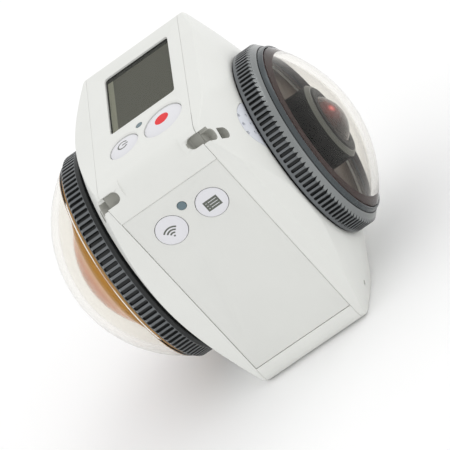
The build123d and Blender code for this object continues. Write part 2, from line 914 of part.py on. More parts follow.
def press_button(wall_plane, spot, radius):
    """A cap through the wall, a flange behind it and a plunger that reaches for its switch."""
    normal = Axis((0, 0, 0), wall_plane(0).z_dir)
    flange_depth = frame_wall + button_play
    plunger_depth = flange_depth + flange_thickness
    with BuildPart() as button:
        for start, end, size in (
            (-button_proud, flange_depth, radius),
            (flange_depth, plunger_depth, radius + flange_margin),
            (plunger_depth, plunger_depth + plunger_length, plunger_radius),
        ):
            with BuildSketch(wall_plane(start)):
                with Locations(spot):
                    Circle(size)
            extrude(amount=start - end)
        fillet(button.faces().sort_by(normal)[-1].edges(), button_edge)
    return button.part


def switch_board(wall_plane, middle, length, width):
    """Thin circuit board under a row of buttons."""
    with BuildPart() as board:
        with BuildSketch(wall_plane(button_board_depth)):
            with Locations(middle):
                RectangleRounded(length, width, board_thickness)
        extrude(amount=-board_thickness)
    return board.part


def switches(wall_plane, spots):
    """Low round switches on a board, one under each plunger."""
    with BuildPart() as group:
        with BuildSketch(wall_plane(button_board_depth)):
            with Locations(*spots):
                Circle(switch_radius)
        extrude(amount=switch_height, taper=switch_taper)
    return group.part


def light_pipe(wall_plane, spot, radius):
    """Clear rod from the surface to the board, with a wider head below the wall."""
    with BuildPart() as pipe:
        with BuildSketch(wall_plane(0)):
            with Locations(spot):
                Circle(radius - face_gap)
        extrude(amount=-button_board_depth)
        with BuildSketch(wall_plane(frame_wall)):
            with Locations(spot):
                Circle(radius + light_head_margin)
        extrude(amount=-light_head_margin)
    return pipe.part


# Record button with its red inlay, and the power button, on the top face
record_spot = (record_x, record_y)
power_spot = (power_x, power_y)
with BuildPart() as record_button:
    add(press_button(top_plane, record_spot, record_radius))
    with BuildSketch(top_plane(-button_proud)):
        with Locations(record_spot):
            Circle(dot_radius)
    extrude(amount=-dot_thickness, mode=Mode.SUBTRACT)
save(record_button.part, "record_button")

with BuildPart() as record_dot:
    with BuildSketch(top_plane(-button_proud)):
        with Locations(record_spot):
            Circle(dot_radius)
    extrude(amount=-dot_thickness)
save(record_dot.part, "record_dot")

save(press_button(top_plane, power_spot, power_radius), "power_button")
save(light_pipe(top_plane, (top_light_x, top_light_y), top_light_radius), "top_light_pipe")
save(
    switch_board(top_plane, (top_board_x, top_board_y), top_board_length, top_board_width),
    "top_board",
)
save(switches(top_plane, (record_spot, power_spot)), "top_switches")

# Menu and wireless buttons on the side panel
menu_spot = (-menu_y, panel_button_z)
wifi_spot = (-wifi_y, panel_button_z)
save(press_button(panel_plane, menu_spot, panel_button_radius), "menu_button")
save(press_button(panel_plane, wifi_spot, panel_button_radius), "wifi_button")
save(light_pipe(panel_plane, (0, side_light_z), side_light_radius), "side_light_pipe")
save(
    switch_board(panel_plane, (0, side_board_z), side_board_width, side_board_height),
    "side_board",
)
save(switches(panel_plane, (menu_spot, wifi_spot)), "side_switches")


def knurled_ring(side, radius, start, end, bevel, collar_radius, collar_depth, flange_radius, flange_start):
    """Ring that turns on its collar: knurled outside, stepped and grooved for the lugs inside."""
    bore = collar_radius + turning_gap
    root = radius - rib_height
    rim = radius - rim_drop
    groove_end = collar_depth - lug_sink + lug_slack
    groove_start = groove_end - lug_length - 2 * lug_slack
    groove_radius = bore + lug_height + lug_slack
    step_depth = flange_start - seal_height
    rib_width = 2 * pi * radius / rib_count * rib_width_share
    with BuildPart() as ring:
        add(
            turned(
                side,
                (bore, start),
                (rim, start),
                (rim, start + plain_rim),
                (root, start + plain_rim),
                (root, end - bevel),
                (rim, end - bevel),
                (rim - bevel, end),
                (flange_radius + fit_gap, end),
                (flange_radius + fit_gap, step_depth),
                (bore, step_depth),
                (bore, groove_end),
                (groove_radius, groove_end),
                (groove_radius, groove_start),
                (bore, groove_start),
            )
        )
        # Ways in for the bayonet lugs
        with BuildSketch(lens_plane(side, start)):
            with PolarLocations(bore, lug_count, start_angle=-entry_turn):
                Rectangle(2 * (groove_radius - bore), lug_chord + 2 * lug_slack)
            Circle(groove_radius - lug_slack / 2, mode=Mode.INTERSECT)
        extrude(amount=(groove_start + groove_end) / 2 - start, mode=Mode.SUBTRACT)
        # Knurl ribs
        with BuildSketch(lens_plane(side, start + plain_rim)):
            with PolarLocations(root, rib_count):
                Rectangle(2 * rib_height, rib_width)
            Circle(root - rib_height / 2, mode=Mode.SUBTRACT)
        extrude(amount=end - bevel - start - plain_rim)
    return ring.part


def sphere_depth(centre, radius, at):
    """Depth of a sphere on the lens axis at a distance from that axis."""
    return centre + sqrt(radius**2 - at**2)


def sphere_reach(centre, radius, depth):
    """Distance of a sphere from the lens axis at a depth."""
    return sqrt(radius**2 - (depth - centre) ** 2)


def dome(side, foot, foot_depth, rise, flange_radius, flange_start, flange_end):
    """Clear spherical shell that rises from its foot, with a flange below."""
    radius = (foot**2 + rise**2) / (2 * rise)
    centre = foot_depth + rise - radius
    inner = radius - dome_wall
    inner_foot = sphere_reach(centre, inner, flange_start)
    bow = foot / 2
    inner_bow = inner_foot / 2
    with BuildPart() as shell:
        with BuildSketch(section_plane(side)):
            with BuildLine():
                Polyline(
                    (inner_foot, flange_start),
                    (flange_radius, flange_start),
                    (flange_radius, flange_end),
                    (foot, flange_end),
                    (foot, foot_depth),
                )
                ThreePointArc(
                    (foot, foot_depth),
                    (bow, sphere_depth(centre, radius, bow)),
                    (0, centre + radius),
                )
                Line((0, centre + radius), (0, centre + inner))
                ThreePointArc(
                    (0, centre + inner),
                    (inner_bow, sphere_depth(centre, inner, inner_bow)),
                    (inner_foot, flange_start),
                )
            make_face()
        revolve(axis=lens_axis)
    return shell.part


def lens_element(side, radius, seat_depth, face_depth, bulge):
    """Front element of a lens: a disc in its seat with a spherical outer face."""
    sphere = (radius**2 + bulge**2) / (2 * bulge)
    centre = face_depth + bulge - sphere
    with BuildPart() as element:
        with BuildSketch(section_plane(side)):
            with BuildLine():
                Polyline((0, face_depth + bulge), (0, seat_depth), (radius, seat_depth), (radius, face_depth))
                ThreePointArc(
                    (radius, face_depth),
                    (radius / 2, sphere_depth(centre, sphere, radius / 2)),
                    (0, face_depth + bulge),
                )
            make_face()
        revolve(axis=lens_axis)
    return element.part


def annulus(side, inner, outer, start, end):
    """Plain ring about the lens axis between two depths."""
    with BuildPart() as ring:
        with BuildSketch(lens_plane(side, start)):
            Circle(outer)
            Circle(inner, mode=Mode.SUBTRACT)
        extrude(amount=end - start)
    return ring.part


# Front lens cover: knurled ring, seal, dome and the bezel that holds the dome
save(
    knurled_ring(
        front,
        front_ring_radius,
        front_ring_start,
        front_ring_end,
        front_ring_bevel,
        front_collar_radius,
        front_collar_depth,
        front_flange_radius,
        front_flange_start,
    ),
    "front_ring",
)
save(
    dome(
        front,
        front_dome_foot,
        front_bezel_end,
        front_dome_rise,
        front_flange_radius,
        front_flange_start,
        front_ring_end - front_flange_step,
    ),
    "front_dome",
)
save(
    annulus(
        front,
        front_collar_radius + turning_gap + face_gap,
        front_flange_radius,
        front_flange_start - seal_height,
        front_flange_start,
    ),
    "front_seal",
)
save(
    turned(
        front,
        (front_dome_foot + fit_gap, front_ring_end),
        (front_bezel_radius, front_ring_end),
        (front_bezel_radius - rim_drop, front_bezel_end),
        (front_dome_foot + fit_gap, front_bezel_end),
    ),
    "front_bezel",
)

# Rear lens cover, wider and shorter
save(
    knurled_ring(
        rear,
        rear_ring_radius,
        rear_ring_start,
        rear_ring_end,
        rear_ring_bevel,
        rear_collar_radius,
        rear_collar_depth,
        rear_flange_radius,
        rear_flange_start,
    ),
    "rear_ring",
)
save(
    dome(
        rear,
        rear_dome_foot,
        rear_foot_depth,
        rear_dome_rise,
        rear_flange_radius,
        rear_flange_start,
        rear_bezel_end,
    ),
    "rear_dome",
)
save(
    annulus(
        rear,
        rear_collar_radius + turning_gap + face_gap,
        rear_flange_radius,
        rear_flange_start - seal_height,
        rear_flange_start,
    ),
    "rear_seal",
)
save(
    annulus(rear, rear_flange_radius + fit_gap, rear_bezel_radius, rear_ring_end, rear_bezel_end),
    "rear_bezel",
)

# Black gaskets between the shells and their rings
save(
    annulus(
        front,
        front_collar_radius + face_gap,
        front_ring_radius - gasket_inset_share * front_ring_wall,
        front_flat_depth,
        front_ring_start - gasket_gap,
    ),
    "front_gasket",
)
save(
    annulus(
        rear,
        rear_collar_radius + face_gap,
        rear_ring_radius - gasket_inset_share * rear_ring_wall,
        rear_flat_depth,
        rear_ring_start - gasket_gap,
    ),
    "rear_gasket",
)


def baffle(side, tower_radius, collar_depth, rim_radius, drop):
    """Dished black plate round the lens tower, its rim on the end of the collar."""
    inner = tower_radius + tower_gap
    bend = rim_radius - baffle_rim
    top = collar_depth + baffle_thickness
    return turned(
        side,
        (inner, collar_depth - drop),
        (bend, collar_depth),
        (rim_radius, collar_depth),
        (rim_radius, top),
        (bend, top),
        (inner, top - drop),
    )


save(
    baffle(front, front_tower_radius, front_collar_depth, front_baffle_radius, front_baffle_drop),
    "front_baffle",
)
save(
    baffle(rear, rear_tower_radius, rear_collar_depth, rear_baffle_radius, rear_baffle_drop),
    "rear_baffle",
)

# Front lens: a narrow tower with a retaining ring and a small domed element
front_seat_depth = front_tower_end - lens_seat
lens_ring_radius = front_tower_radius - front_tower_bevel - lens_ring_inset
save(
    turned(
        front,
        (front_tower_bore, front_tower_foot),
        (front_tower_radius, front_tower_foot),
        (front_tower_radius, carrier_depth - carrier_spigot_thickness),
        (carrier_spigot, carrier_depth - carrier_spigot_thickness),
        (carrier_spigot, carrier_depth),
        (front_tower_radius, carrier_depth),
        (front_tower_radius, front_tower_end - front_tower_bevel),
        (front_tower_radius - front_tower_bevel, front_tower_end),
        (front_lens_radius + face_gap, front_tower_end),
        (front_lens_radius + face_gap, front_seat_depth),
        (front_tower_bore, front_seat_depth),
    ),
    "front_barrel",
)
save(
    lens_element(front, front_lens_radius, front_seat_depth, front_tower_end, front_lens_bulge),
    "front_lens",
)
save(
    turned(
        front,
        (front_lens_radius + face_gap, front_tower_end),
        (lens_ring_radius, front_tower_end),
        (lens_ring_radius - lens_ring_height, front_tower_end + lens_ring_height),
        (front_lens_radius + face_gap, front_tower_end + lens_ring_height),
    ),
    "front_lens_ring",
)

# Rear lens: a wide tower on a narrower tail, with a large domed element
rear_seat_depth = rear_tower_end - lens_seat
save(
    turned(
        rear,
        (rear_tower_bore, rear_tower_foot),
        (rear_tail_radius, rear_tower_foot),
        (rear_tail_radius, carrier_depth - carrier_spigot_thickness),
        (carrier_spigot, carrier_depth - carrier_spigot_thickness),
        (carrier_spigot, carrier_depth),
        (rear_tail_radius, carrier_depth),
        (rear_tail_radius, rear_tail_end),
        (rear_tower_radius, rear_tail_end),
        (rear_tower_radius, rear_tower_end - rear_tower_bevel),
        (rear_tower_radius - rear_tower_bevel, rear_tower_end),
        (rear_lens_radius + face_gap, rear_tower_end),
        (rear_lens_radius + face_gap, rear_seat_depth),
        (rear_tower_bore, rear_seat_depth),
    ),
    "rear_barrel",
)
save(
    lens_element(rear, rear_lens_radius, rear_seat_depth, rear_tower_end, rear_lens_bulge),
    "rear_lens",
)


def carrier(side, bore):
    """Metal plate that holds a lens tower, screwed to the posts of the frame."""
    with BuildPart() as plate:
        with BuildSketch(lens_plane(side, carrier_depth)):
            RectangleRounded(carrier_width, carrier_height, carrier_corner)
            Circle(bore + face_gap, mode=Mode.SUBTRACT)
            with Locations(*screw_spots):
                Circle(screw_radius + screw_gap, mode=Mode.SUBTRACT)
        extrude(amount=carrier_thickness)
        with BuildSketch(strap_plane(side, carrier_depth)):
            with Locations((strap_boss_inner - carrier_corner_gap, 0)):
                Rectangle(body_height, carrier_width, align=(Align.MIN, Align.CENTER))
        extrude(amount=carrier_thickness, mode=Mode.SUBTRACT)
    return plate.part


def image_sensor(side, tower_foot):
    """Image chip behind a lens tower, on its own small board."""
    chip_back = tower_foot - sensor_gap - sensor_thickness
    with BuildPart() as sensor:
        with BuildSketch(lens_plane(side, chip_back)):
            Rectangle(sensor_width, sensor_height)
        extrude(amount=sensor_thickness)
        with BuildSketch(lens_plane(side, chip_back - board_thickness)):
            Rectangle(sensor_board_size, sensor_board_size)
        extrude(amount=board_thickness)
    return sensor.part


save(carrier(front, front_tower_radius), "front_carrier")
save(carrier(rear, rear_tail_radius), "rear_carrier")
save(image_sensor(front, front_tower_foot), "front_sensor")
save(image_sensor(rear, rear_tower_foot), "rear_sensor")

# Screws of both carriers, one group
with BuildPart() as carrier_screws:
    head_depth = carrier_depth + carrier_thickness
    for side in sides:
        with BuildSketch(lens_plane(side, head_depth)):
            with Locations(*screw_spots):
                Circle(screw_head_radius)
        extrude(amount=screw_head_height)
        with BuildSketch(lens_plane(side, head_depth)):
            with Locations(*screw_spots):
                Circle(screw_radius)
        extrude(amount=-screw_length)
save(carrier_screws.part, "carrier_screws")

# Main board on edge between the battery and the rear lens
board_middle = ((main_board_left + main_board_right) / 2, (main_board_low + main_board_high) / 2)
with BuildPart() as main_board:
    with BuildSketch(Plane.XZ.offset(-main_board_depth)):
        with Locations(board_middle):
            RectangleRounded(
                main_board_right - main_board_left,
                main_board_high - main_board_low,
                board_thickness,
            )
    extrude(amount=-board_thickness)
save(main_board.part, "main_board")

# Aerial under the top board
with BuildPart() as wifi_antenna:
    with BuildSketch(top_plane(button_board_depth + board_thickness)):
        with Locations((antenna_x, antenna_y)):
            Rectangle(antenna_length, antenna_width)
    extrude(amount=-antenna_thickness)
save(wifi_antenna.part, "wifi_antenna")


def port(length, width, height, middle_z):
    """Metal socket shell on the main board, open towards the door."""
    middle = (board_back + height / 2, middle_z)
    with BuildPart() as shell:
        with BuildSketch(door_plane(port_inset)):
            with Locations(middle):
                RectangleRounded(height, width, port_wall)
        extrude(amount=-length)
        with BuildSketch(door_plane(port_inset)):
            with Locations(middle):
                Rectangle(height - 2 * port_wall, width - 2 * port_wall)
        extrude(amount=-length * port_throat_share, mode=Mode.SUBTRACT)
        with BuildSketch(door_plane(port_inset + length * (1 - port_throat_share))):
            with Locations(middle):
                Rectangle(port_wall, width * port_throat_share)
        extrude(amount=-length * port_throat_share)
    return shell.part


save(port(usb_length, usb_width, usb_height, usb_z), "usb_port")
save(port(hdmi_length, hdmi_width, hdmi_height, hdmi_z), "hdmi_port")

# Memory card in its socket
card_y = board_back + socket_wall + card_gap
with BuildPart() as memory_card:
    with BuildSketch(door_plane(card_inset)):
        with Locations((card_y + card_thickness / 2, card_z)):
            Rectangle(card_thickness, card_width)
    extrude(amount=-card_length)
save(memory_card.part, "memory_card")

with BuildPart() as card_socket:
    socket_mouth = card_inset + socket_lead
    with BuildSketch(door_plane(socket_mouth)):
        with Locations((board_back + socket_thickness / 2, card_z)):
            Rectangle(socket_thickness, socket_height)
    extrude(amount=-card_length)
    with BuildSketch(door_plane(socket_mouth)):
        with Locations((board_back + socket_thickness / 2, card_z)):
            Rectangle(card_thickness + 2 * card_gap, card_width + 2 * card_gap)
    extrude(amount=-card_length + socket_lead - card_gap, mode=Mode.SUBTRACT)
save(card_socket.part, "card_socket")

# Battery in its tray, against three contacts at the inner end
battery_place = (battery_y, lens_height)
with BuildPart() as battery:
    with BuildSketch(door_plane(battery_door_clearance)):
        with Locations(battery_place):
            RectangleRounded(battery_thickness, battery_height, battery_edge)
    extrude(amount=-battery_length)
save(battery.part, "battery")

tray_mouth = battery_door_clearance + tray_lip
tray_depth = battery_length - tray_lip + contact_room + tray_wall
with BuildPart() as battery_tray:
    with BuildSketch(door_plane(tray_mouth)):
        with Locations(battery_place):
            Rectangle(
                battery_thickness + 2 * tray_gap + 2 * tray_wall,
                battery_height + 2 * tray_gap + 2 * tray_wall,
            )
    extrude(amount=-tray_depth)
    with BuildSketch(door_plane(tray_mouth)):
        with Locations(battery_place):
            Rectangle(battery_thickness + 2 * tray_gap, battery_height + 2 * tray_gap)
    extrude(amount=-tray_depth + tray_wall, mode=Mode.SUBTRACT)
save(battery_tray.part, "battery_tray")

with BuildPart() as battery_contacts:
    with BuildSketch(door_plane(battery_door_clearance + battery_length + contact_slack)):
        with Locations(battery_place):
            with GridLocations(0, contact_pitch, 1, contact_count):
                Rectangle(contact_width, contact_height)
    extrude(amount=-contact_room + contact_slack)
save(battery_contacts.part, "battery_contacts")

# Battery door: a plate with a round knuckle at its rear edge and a seat for the lock
lock_pocket_front = lock_front - lock_travel - lock_gap
lock_pocket_rear = lock_front + lock_width + lock_gap
with BuildPart() as side_door:
    with BuildSketch(door_plane(0)):
        with Locations((door_middle_y, door_middle_z)):
            Rectangle(door_span, door_high - door_low)
    extrude(amount=-door_thickness)
    with BuildSketch(Plane.XY.offset(door_low)):
        with Locations((pivot_x, door_pivot_y)):
            Circle(knuckle_radius)
    extrude(amount=door_high - door_low)
    with BuildSketch(Plane.XY.offset(door_low)):
        with Locations((pivot_x, door_pivot_y)):
            Circle(hinge_pin_radius + hinge_pin_gap)
    extrude(amount=door_high - door_low, mode=Mode.SUBTRACT)
    with BuildSketch(door_plane(0)):
        with Locations((lock_pocket_front, door_middle_z)):
            Rectangle(
                lock_pocket_rear - lock_pocket_front,
                lock_height + 2 * lock_gap,
                align=(Align.MIN, Align.CENTER),
            )
    extrude(amount=-lock_depth - lock_gap, mode=Mode.SUBTRACT)
    with BuildSketch(door_plane(tongue_level - tongue_thickness / 2 - lock_gap)):
        with Locations((door_front - lock_gap, door_middle_z)):
            Rectangle(
                lock_pocket_front - door_front + 2 * lock_gap,
                tongue_height + 2 * lock_gap,
                align=(Align.MIN, Align.CENTER),
            )
    extrude(amount=-tongue_thickness - 2 * lock_gap, mode=Mode.SUBTRACT)
save(side_door.part, "side_door")

with BuildPart() as door_hinge_pin:
    with BuildSketch(Plane.XY.offset(door_low - hinge_pin_reach + face_gap)):
        with Locations((pivot_x, door_pivot_y)):
            Circle(hinge_pin_radius)
    extrude(amount=door_high - door_low + 2 * hinge_pin_reach - 2 * face_gap)
save(door_hinge_pin.part, "door_hinge_pin")

# Lock slider with a tongue at its front and grip ribs on its face
with BuildPart() as door_lock:
    with BuildSketch(door_plane(0)):
        with Locations((lock_front, door_middle_z)):
            Rectangle(lock_width, lock_height, align=(Align.MIN, Align.CENTER))
    extrude(amount=-lock_depth)
    with BuildSketch(door_plane(tongue_level - tongue_thickness / 2)):
        with Locations((door_front + lock_gap, door_middle_z)):
            Rectangle(
                lock_front - door_front,
                tongue_height,
                align=(Align.MIN, Align.CENTER),
            )
    extrude(amount=-tongue_thickness)
    with BuildSketch(door_plane(0)):
        with Locations((lock_front + lock_width / 2, door_middle_z)):
            with GridLocations(lock_width / lock_rib_count, 0, lock_rib_count, 1):
                Rectangle(lock_width / lock_rib_count / 2, lock_height - lock_gap)
    extrude(amount=lock_rib_height)
save(door_lock.part, "door_lock")

# Rubber gasket on the inside of the door
with BuildPart() as door_gasket:
    gasket_front = door_front + gasket_inset
    gasket_rear = hinge_ledge_end + gasket_band / 2
    gasket_height = door_high - door_low - 2 * gasket_inset
    with BuildSketch(door_plane(door_thickness)):
        with Locations(((gasket_front + gasket_rear) / 2, door_middle_z)):
            Rectangle(gasket_rear - gasket_front, gasket_height)
            Rectangle(
                gasket_rear - gasket_front - 2 * gasket_band,
                gasket_height - 2 * gasket_band,
                mode=Mode.SUBTRACT,
            )
    extrude(amount=-gasket_thickness)
save(door_gasket.part, "door_gasket")
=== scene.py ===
"""The look of a pocket 360 degree camera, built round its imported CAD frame.

The white body stands on its base with the tripod socket at the origin and the lens axis along Y.
Each sub-assembly is a class that reads its places from the frame, in millimetres, and makes its
pieces in metres. Pieces ride on the CAD bodies, so the domes turn, the buttons press, the battery
door swings and its lock slides. A depth is measured outwards along the lens axis from the middle.
"""

import logging
import math
from dataclasses import dataclass, field
from enum import Enum
from functools import cache
from typing import Callable, Iterable, Sequence

import bmesh
import bpy
import numpy as np
from mathutils import Matrix, Vector


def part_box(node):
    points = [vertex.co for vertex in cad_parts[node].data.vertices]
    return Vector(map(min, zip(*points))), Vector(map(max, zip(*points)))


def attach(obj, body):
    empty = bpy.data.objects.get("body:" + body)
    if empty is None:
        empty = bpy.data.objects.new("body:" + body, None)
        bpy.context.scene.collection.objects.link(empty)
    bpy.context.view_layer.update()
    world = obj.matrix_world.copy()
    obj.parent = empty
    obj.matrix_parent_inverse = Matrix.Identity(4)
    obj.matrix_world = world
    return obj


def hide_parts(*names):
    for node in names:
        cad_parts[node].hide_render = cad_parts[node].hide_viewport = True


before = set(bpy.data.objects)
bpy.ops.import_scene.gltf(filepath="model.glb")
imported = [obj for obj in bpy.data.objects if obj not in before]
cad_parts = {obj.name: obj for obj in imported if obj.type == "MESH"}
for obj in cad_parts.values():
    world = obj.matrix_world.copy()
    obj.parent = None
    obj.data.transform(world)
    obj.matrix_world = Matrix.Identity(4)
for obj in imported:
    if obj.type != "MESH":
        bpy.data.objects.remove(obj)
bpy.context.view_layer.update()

LOG = logging.getLogger("camera_look")
MM = 0.001
# The angle above which other edges stay sharp
SHARP_DEGREES = 32.0
Piece = bpy.types.Object
Tree = bpy.types.NodeTree
Socket = bpy.types.NodeSocket
Point = tuple[float, float]
Colour = tuple[float, float, float, float]


class Body(Enum):
    """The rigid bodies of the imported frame."""

    CAMERA = "camera"
    FRONT_COVER = "front_cover"
    REAR_COVER = "rear_cover"
    RECORD = "record_key"
    POWER = "power_key"
    MENU = "menu_key"
    WIRELESS = "wifi_key"
    DOOR = "door"
    LOCK = "lock"


class Side(Enum):
    """The two ends of the lens axis, as the sign of Y."""

    FRONT = -1
    REAR = 1


@dataclass(frozen=True)
class Extent:
    """The box of a CAD node, in millimetres."""

    low: Vector
    high: Vector

    @classmethod
    @cache
    def of(cls, node: str) -> "Extent":
        """Reads a node's box from the frame."""
        low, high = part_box(node)
        return cls(low / MM, high / MM)

    @property
    def middle(self) -> Vector:
        """The middle of the box."""
        return (self.low + self.high) / 2

    @property
    def size(self) -> Vector:
        """The lengths of the box's sides."""
        return self.high - self.low

    @property
    def radius(self) -> float:
        """The radius of a piece turned about the lens axis."""
        return self.size.x / 2


FRAME_BOX = Extent.of("mid_frame")
HALF_WIDTH = FRAME_BOX.high.x
BODY_HEIGHT = FRAME_BOX.high.z
LENS_HEIGHT = Extent.of("front_ring").middle.z
COVER_ROOM = min(HALF_WIDTH, BODY_HEIGHT - LENS_HEIGHT)


# Materials


def linear(hex_colour: str) -> Colour:
    """Turns an sRGB colour, as #RRGGBB, to linear values with a full alpha."""
    values = [int(hex_colour[i : i + 2], 16) / 255 for i in (1, 3, 5)]
    parts = [v / 12.92 if v <= 0.04045 else ((v + 0.055) / 1.055) ** 2.4 for v in values]
    return (parts[0], parts[1], parts[2], 1.0)


def add_node(tree: Tree, kind: str, inputs: dict | None = None, **settings) -> bpy.types.Node:
    """Adds a node with its settings, values and links.

    Args:
        tree: The node tree that gets the node.
        kind: The node's type name.
        inputs: A value or an output socket for each input, by name or index.
        settings: The node's own properties.

    Returns:
        The new node.
    """
    node = tree.nodes.new(kind)
    for key, value in settings.items():
        setattr(node, key, value)
    for key, value in (inputs or {}).items():
        if isinstance(value, Socket):
            tree.links.new(value, node.inputs[key])
        else:
            node.inputs[key].default_value = value
    return node


def wired(
    tree: Tree, kind: str, output: str | int, inputs: dict | None = None, **settings
) -> Socket:
    """Adds a node, as add_node does, and gives its output of that name or index."""
    return add_node(tree, kind, inputs, **settings).outputs[output]


def noise(
    tree: Tree, place: Socket, size_mm: float, detail: float
) -> Socket:
    """Adds a noise pattern whose cells have a size in millimetres."""
    values = {"Vector": place, "Scale": 1 / (size_mm * MM), "Detail": detail}
    return wired(tree, "ShaderNodeTexNoise", "Fac", values)


def maths(
    tree: Tree,
    operation: str,
    first: Socket | float,
    second: Socket | float,
) -> Socket:
    """Adds a sum, with a socket or a number on either side."""
    return wired(tree, "ShaderNodeMath", "Value", {0: first, 1: second}, operation=operation)


@dataclass(frozen=True)
class Finish:
    """What every finish shares: a name, a colour and a surface grain on Object coordinates.

    The cloud is a slow change of tone across the piece. The grain is the fine texture of the
    mould, the grinding or the casting.
    """

    name: str
    colour: str
    roughness: float = 0.4
    metallic: float = 0.0
    index: float = 1.5
    grain_mm: float = 0.3
    grain_height_mm: float = 0.004
    grain_stretch: tuple[float, float, float] = (1.0, 1.0, 1.0)
    gloss_spread: float = 0.12
    cloud_mm: float = 9.0
    cloud_depth: float = 0.025
    coat: float = 0.0
    coat_roughness: float = 0.12
    clear: float = 0.0
    specular: float = 0.5

    def build(self) -> bpy.types.Material:
        """Makes the material, with Object coordinates behind its patterns."""
        material = bpy.data.materials.new(self.name)
        material.use_nodes = True
        tree = material.node_tree
        tree.nodes.clear()
        place = wired(tree, "ShaderNodeTexCoord", "Object")
        shader = wired(tree, "ShaderNodeBsdfPrincipled", "BSDF", self.surface(tree, place))
        add_node(tree, "ShaderNodeOutputMaterial", {"Surface": shader})
        return material

    def surface(self, tree: Tree, place: Socket) -> dict:
        """Gives the shader's inputs.

        Args:
            tree: The material's tree.
            place: Object coordinates.

        Returns:
            A value or a socket for each input.
        """
        spread = wired(tree, "ShaderNodeMapping", "Vector", {"Vector": place, "Scale": self.grain_stretch})
        grain = noise(tree, spread, self.grain_mm, 1.0)
        values = {
            "Base Color": self.tone(tree, place),
            "Roughness": self.gloss(tree, grain),
            "Metallic": self.metallic,
            "Coat Weight": self.coat,
            "Coat Roughness": self.coat_roughness,
            "Transmission Weight": self.clear,
            "Specular IOR Level": self.specular,
        }
        if self.grain_height_mm:
            relief = {"Height": grain, "Distance": self.grain_height_mm * MM}
            values["Normal"] = wired(tree, "ShaderNodeBump", "Normal", relief)
        if self.metallic == 0:
            values["IOR"] = self.index
        return values

    def gloss(self, tree: Tree, pattern: Socket) -> Socket:
        """Spreads the roughness over a pattern."""
        low = self.roughness * (1 - self.gloss_spread)
        high = min(self.roughness * (1 + self.gloss_spread), 1.0)
        values = {"Value": pattern, "To Min": low, "To Max": high}
        return wired(tree, "ShaderNodeMapRange", "Result", values)

    def tone(self, tree: Tree, place: Socket) -> Socket:
        """Draws the base colour with its slow cloud, on Object coordinates."""
        base = linear(self.colour)
        dark = tuple(v * (1 - self.cloud_depth) for v in base[:3]) + (1.0,)
        light = tuple(min(v * (1 + self.cloud_depth), 1.0) for v in base[:3]) + (1.0,)
        values = {0: noise(tree, place, self.cloud_mm, 2.0), 6: dark, 7: light}
        return wired(tree, "ShaderNodeMix", 2, values, data_type="RGBA")


@dataclass(frozen=True)
class RingedFinish(Finish):
    """A finish whose colour changes with the distance from a point: a coated lens's rings, or a painted
    reflection spot.

    The rings are pairs of a radius in millimetres and the colour there.
    """

    centre: tuple[float, float, float] = (0.0, 0.0, 0.0)
    squash: tuple[float, float, float] = (1.0, 0.0, 1.0)
    rings: tuple[tuple[float, str], ...] = ()

    def tone(self, tree: Tree, place: Socket) -> Socket:
        """Draws the colour rings round the centre, on Object coordinates."""
        reach = self.rings[-1][0] * MM
        middle = tuple(v * MM for v in self.centre)
        kind = "ShaderNodeVectorMath"
        shift = wired(tree, kind, "Vector", {0: place, 1: middle}, operation="SUBTRACT")
        flat = wired(tree, kind, "Vector", {0: shift, 1: self.squash}, operation="MULTIPLY")
        far = wired(tree, kind, "Value", {0: flat}, operation="LENGTH")
        ramp = add_node(tree, "ShaderNodeValToRGB", {"Fac": maths(tree, "DIVIDE", far, reach)})
        stops = ramp.color_ramp.elements
        stops[0].position, stops[0].color = 0.0, linear(self.rings[0][1])
        stops[1].position, stops[1].color = 1.0, linear(self.rings[-1][1])
        for radius, colour in self.rings[1:-1]:
            stops.new(radius * MM / reach).color = linear(colour)
        return ramp.outputs["Color"]


@dataclass(frozen=True)
class ClearWindow(Finish):
    """Clear moulded acrylic or ground glass: light bends through it and a faint gloss lies on it.

    A slow smear in the gloss stands for the polish, which is never quite even.
    """

    clear: float = 1.0

    def surface(self, tree: Tree, place: Socket) -> dict:
        """Gives the shader's inputs, for Object coordinates."""
        return {
            "Base Color": linear(self.colour),
            "Roughness": self.gloss(tree, noise(tree, place, self.cloud_mm, 2.0)),
            "IOR": self.index,
            "Transmission Weight": self.clear,
            "Specular IOR Level": self.specular,
        }


# Colours are matched to the photograph, under the even white light of the studio
BODY_WHITE = Finish("Moulded white ABS, fine grain", "#DEDFDB", 0.42, index=1.53)
PANEL_WHITE = Finish("Moulded warm white ABS", "#D9DAD6", 0.45, index=1.53)
GRILLE_WHITE = Finish("Punched sheet, cool white paint", "#D6D9E0", 0.4, grain_mm=0.4)
RING_METAL = Finish(
    "Anodised aluminium, gunmetal",
    "#6D7072",
    0.34,
    1.0,
    grain_mm=0.6,
    grain_height_mm=0.002,
    cloud_depth=0.05,
)
# The chamfer is cut after the anodising, so it shines
BAND_METAL = Finish(
    "Turned aluminium, bright chamfer", "#868989", 0.24, 1.0, grain_mm=0.6, grain_height_mm=0.001
)
# Painted shade: the knurl's grooves, the ring's front land and the rear ring's back rim are coloured near
# black
GROOVE_PAINTED_SHADE = Finish("Anodised groove, unpolished", "#2B2D2D", 0.5, 0.5, grain_height_mm=0.001)
BEZEL_GREY = Finish(
    "Anodised aluminium, dark grey", "#505557", 0.28, 0.9, grain_mm=0.6, grain_height_mm=0.001
)
STEEL = Finish("Pressed stainless steel", "#A9ABAE", 0.3, 1.0, grain_mm=0.4)
BLACK_PLASTIC = Finish("Moulded black ABS", "#121214", 0.42, specular=0.3)
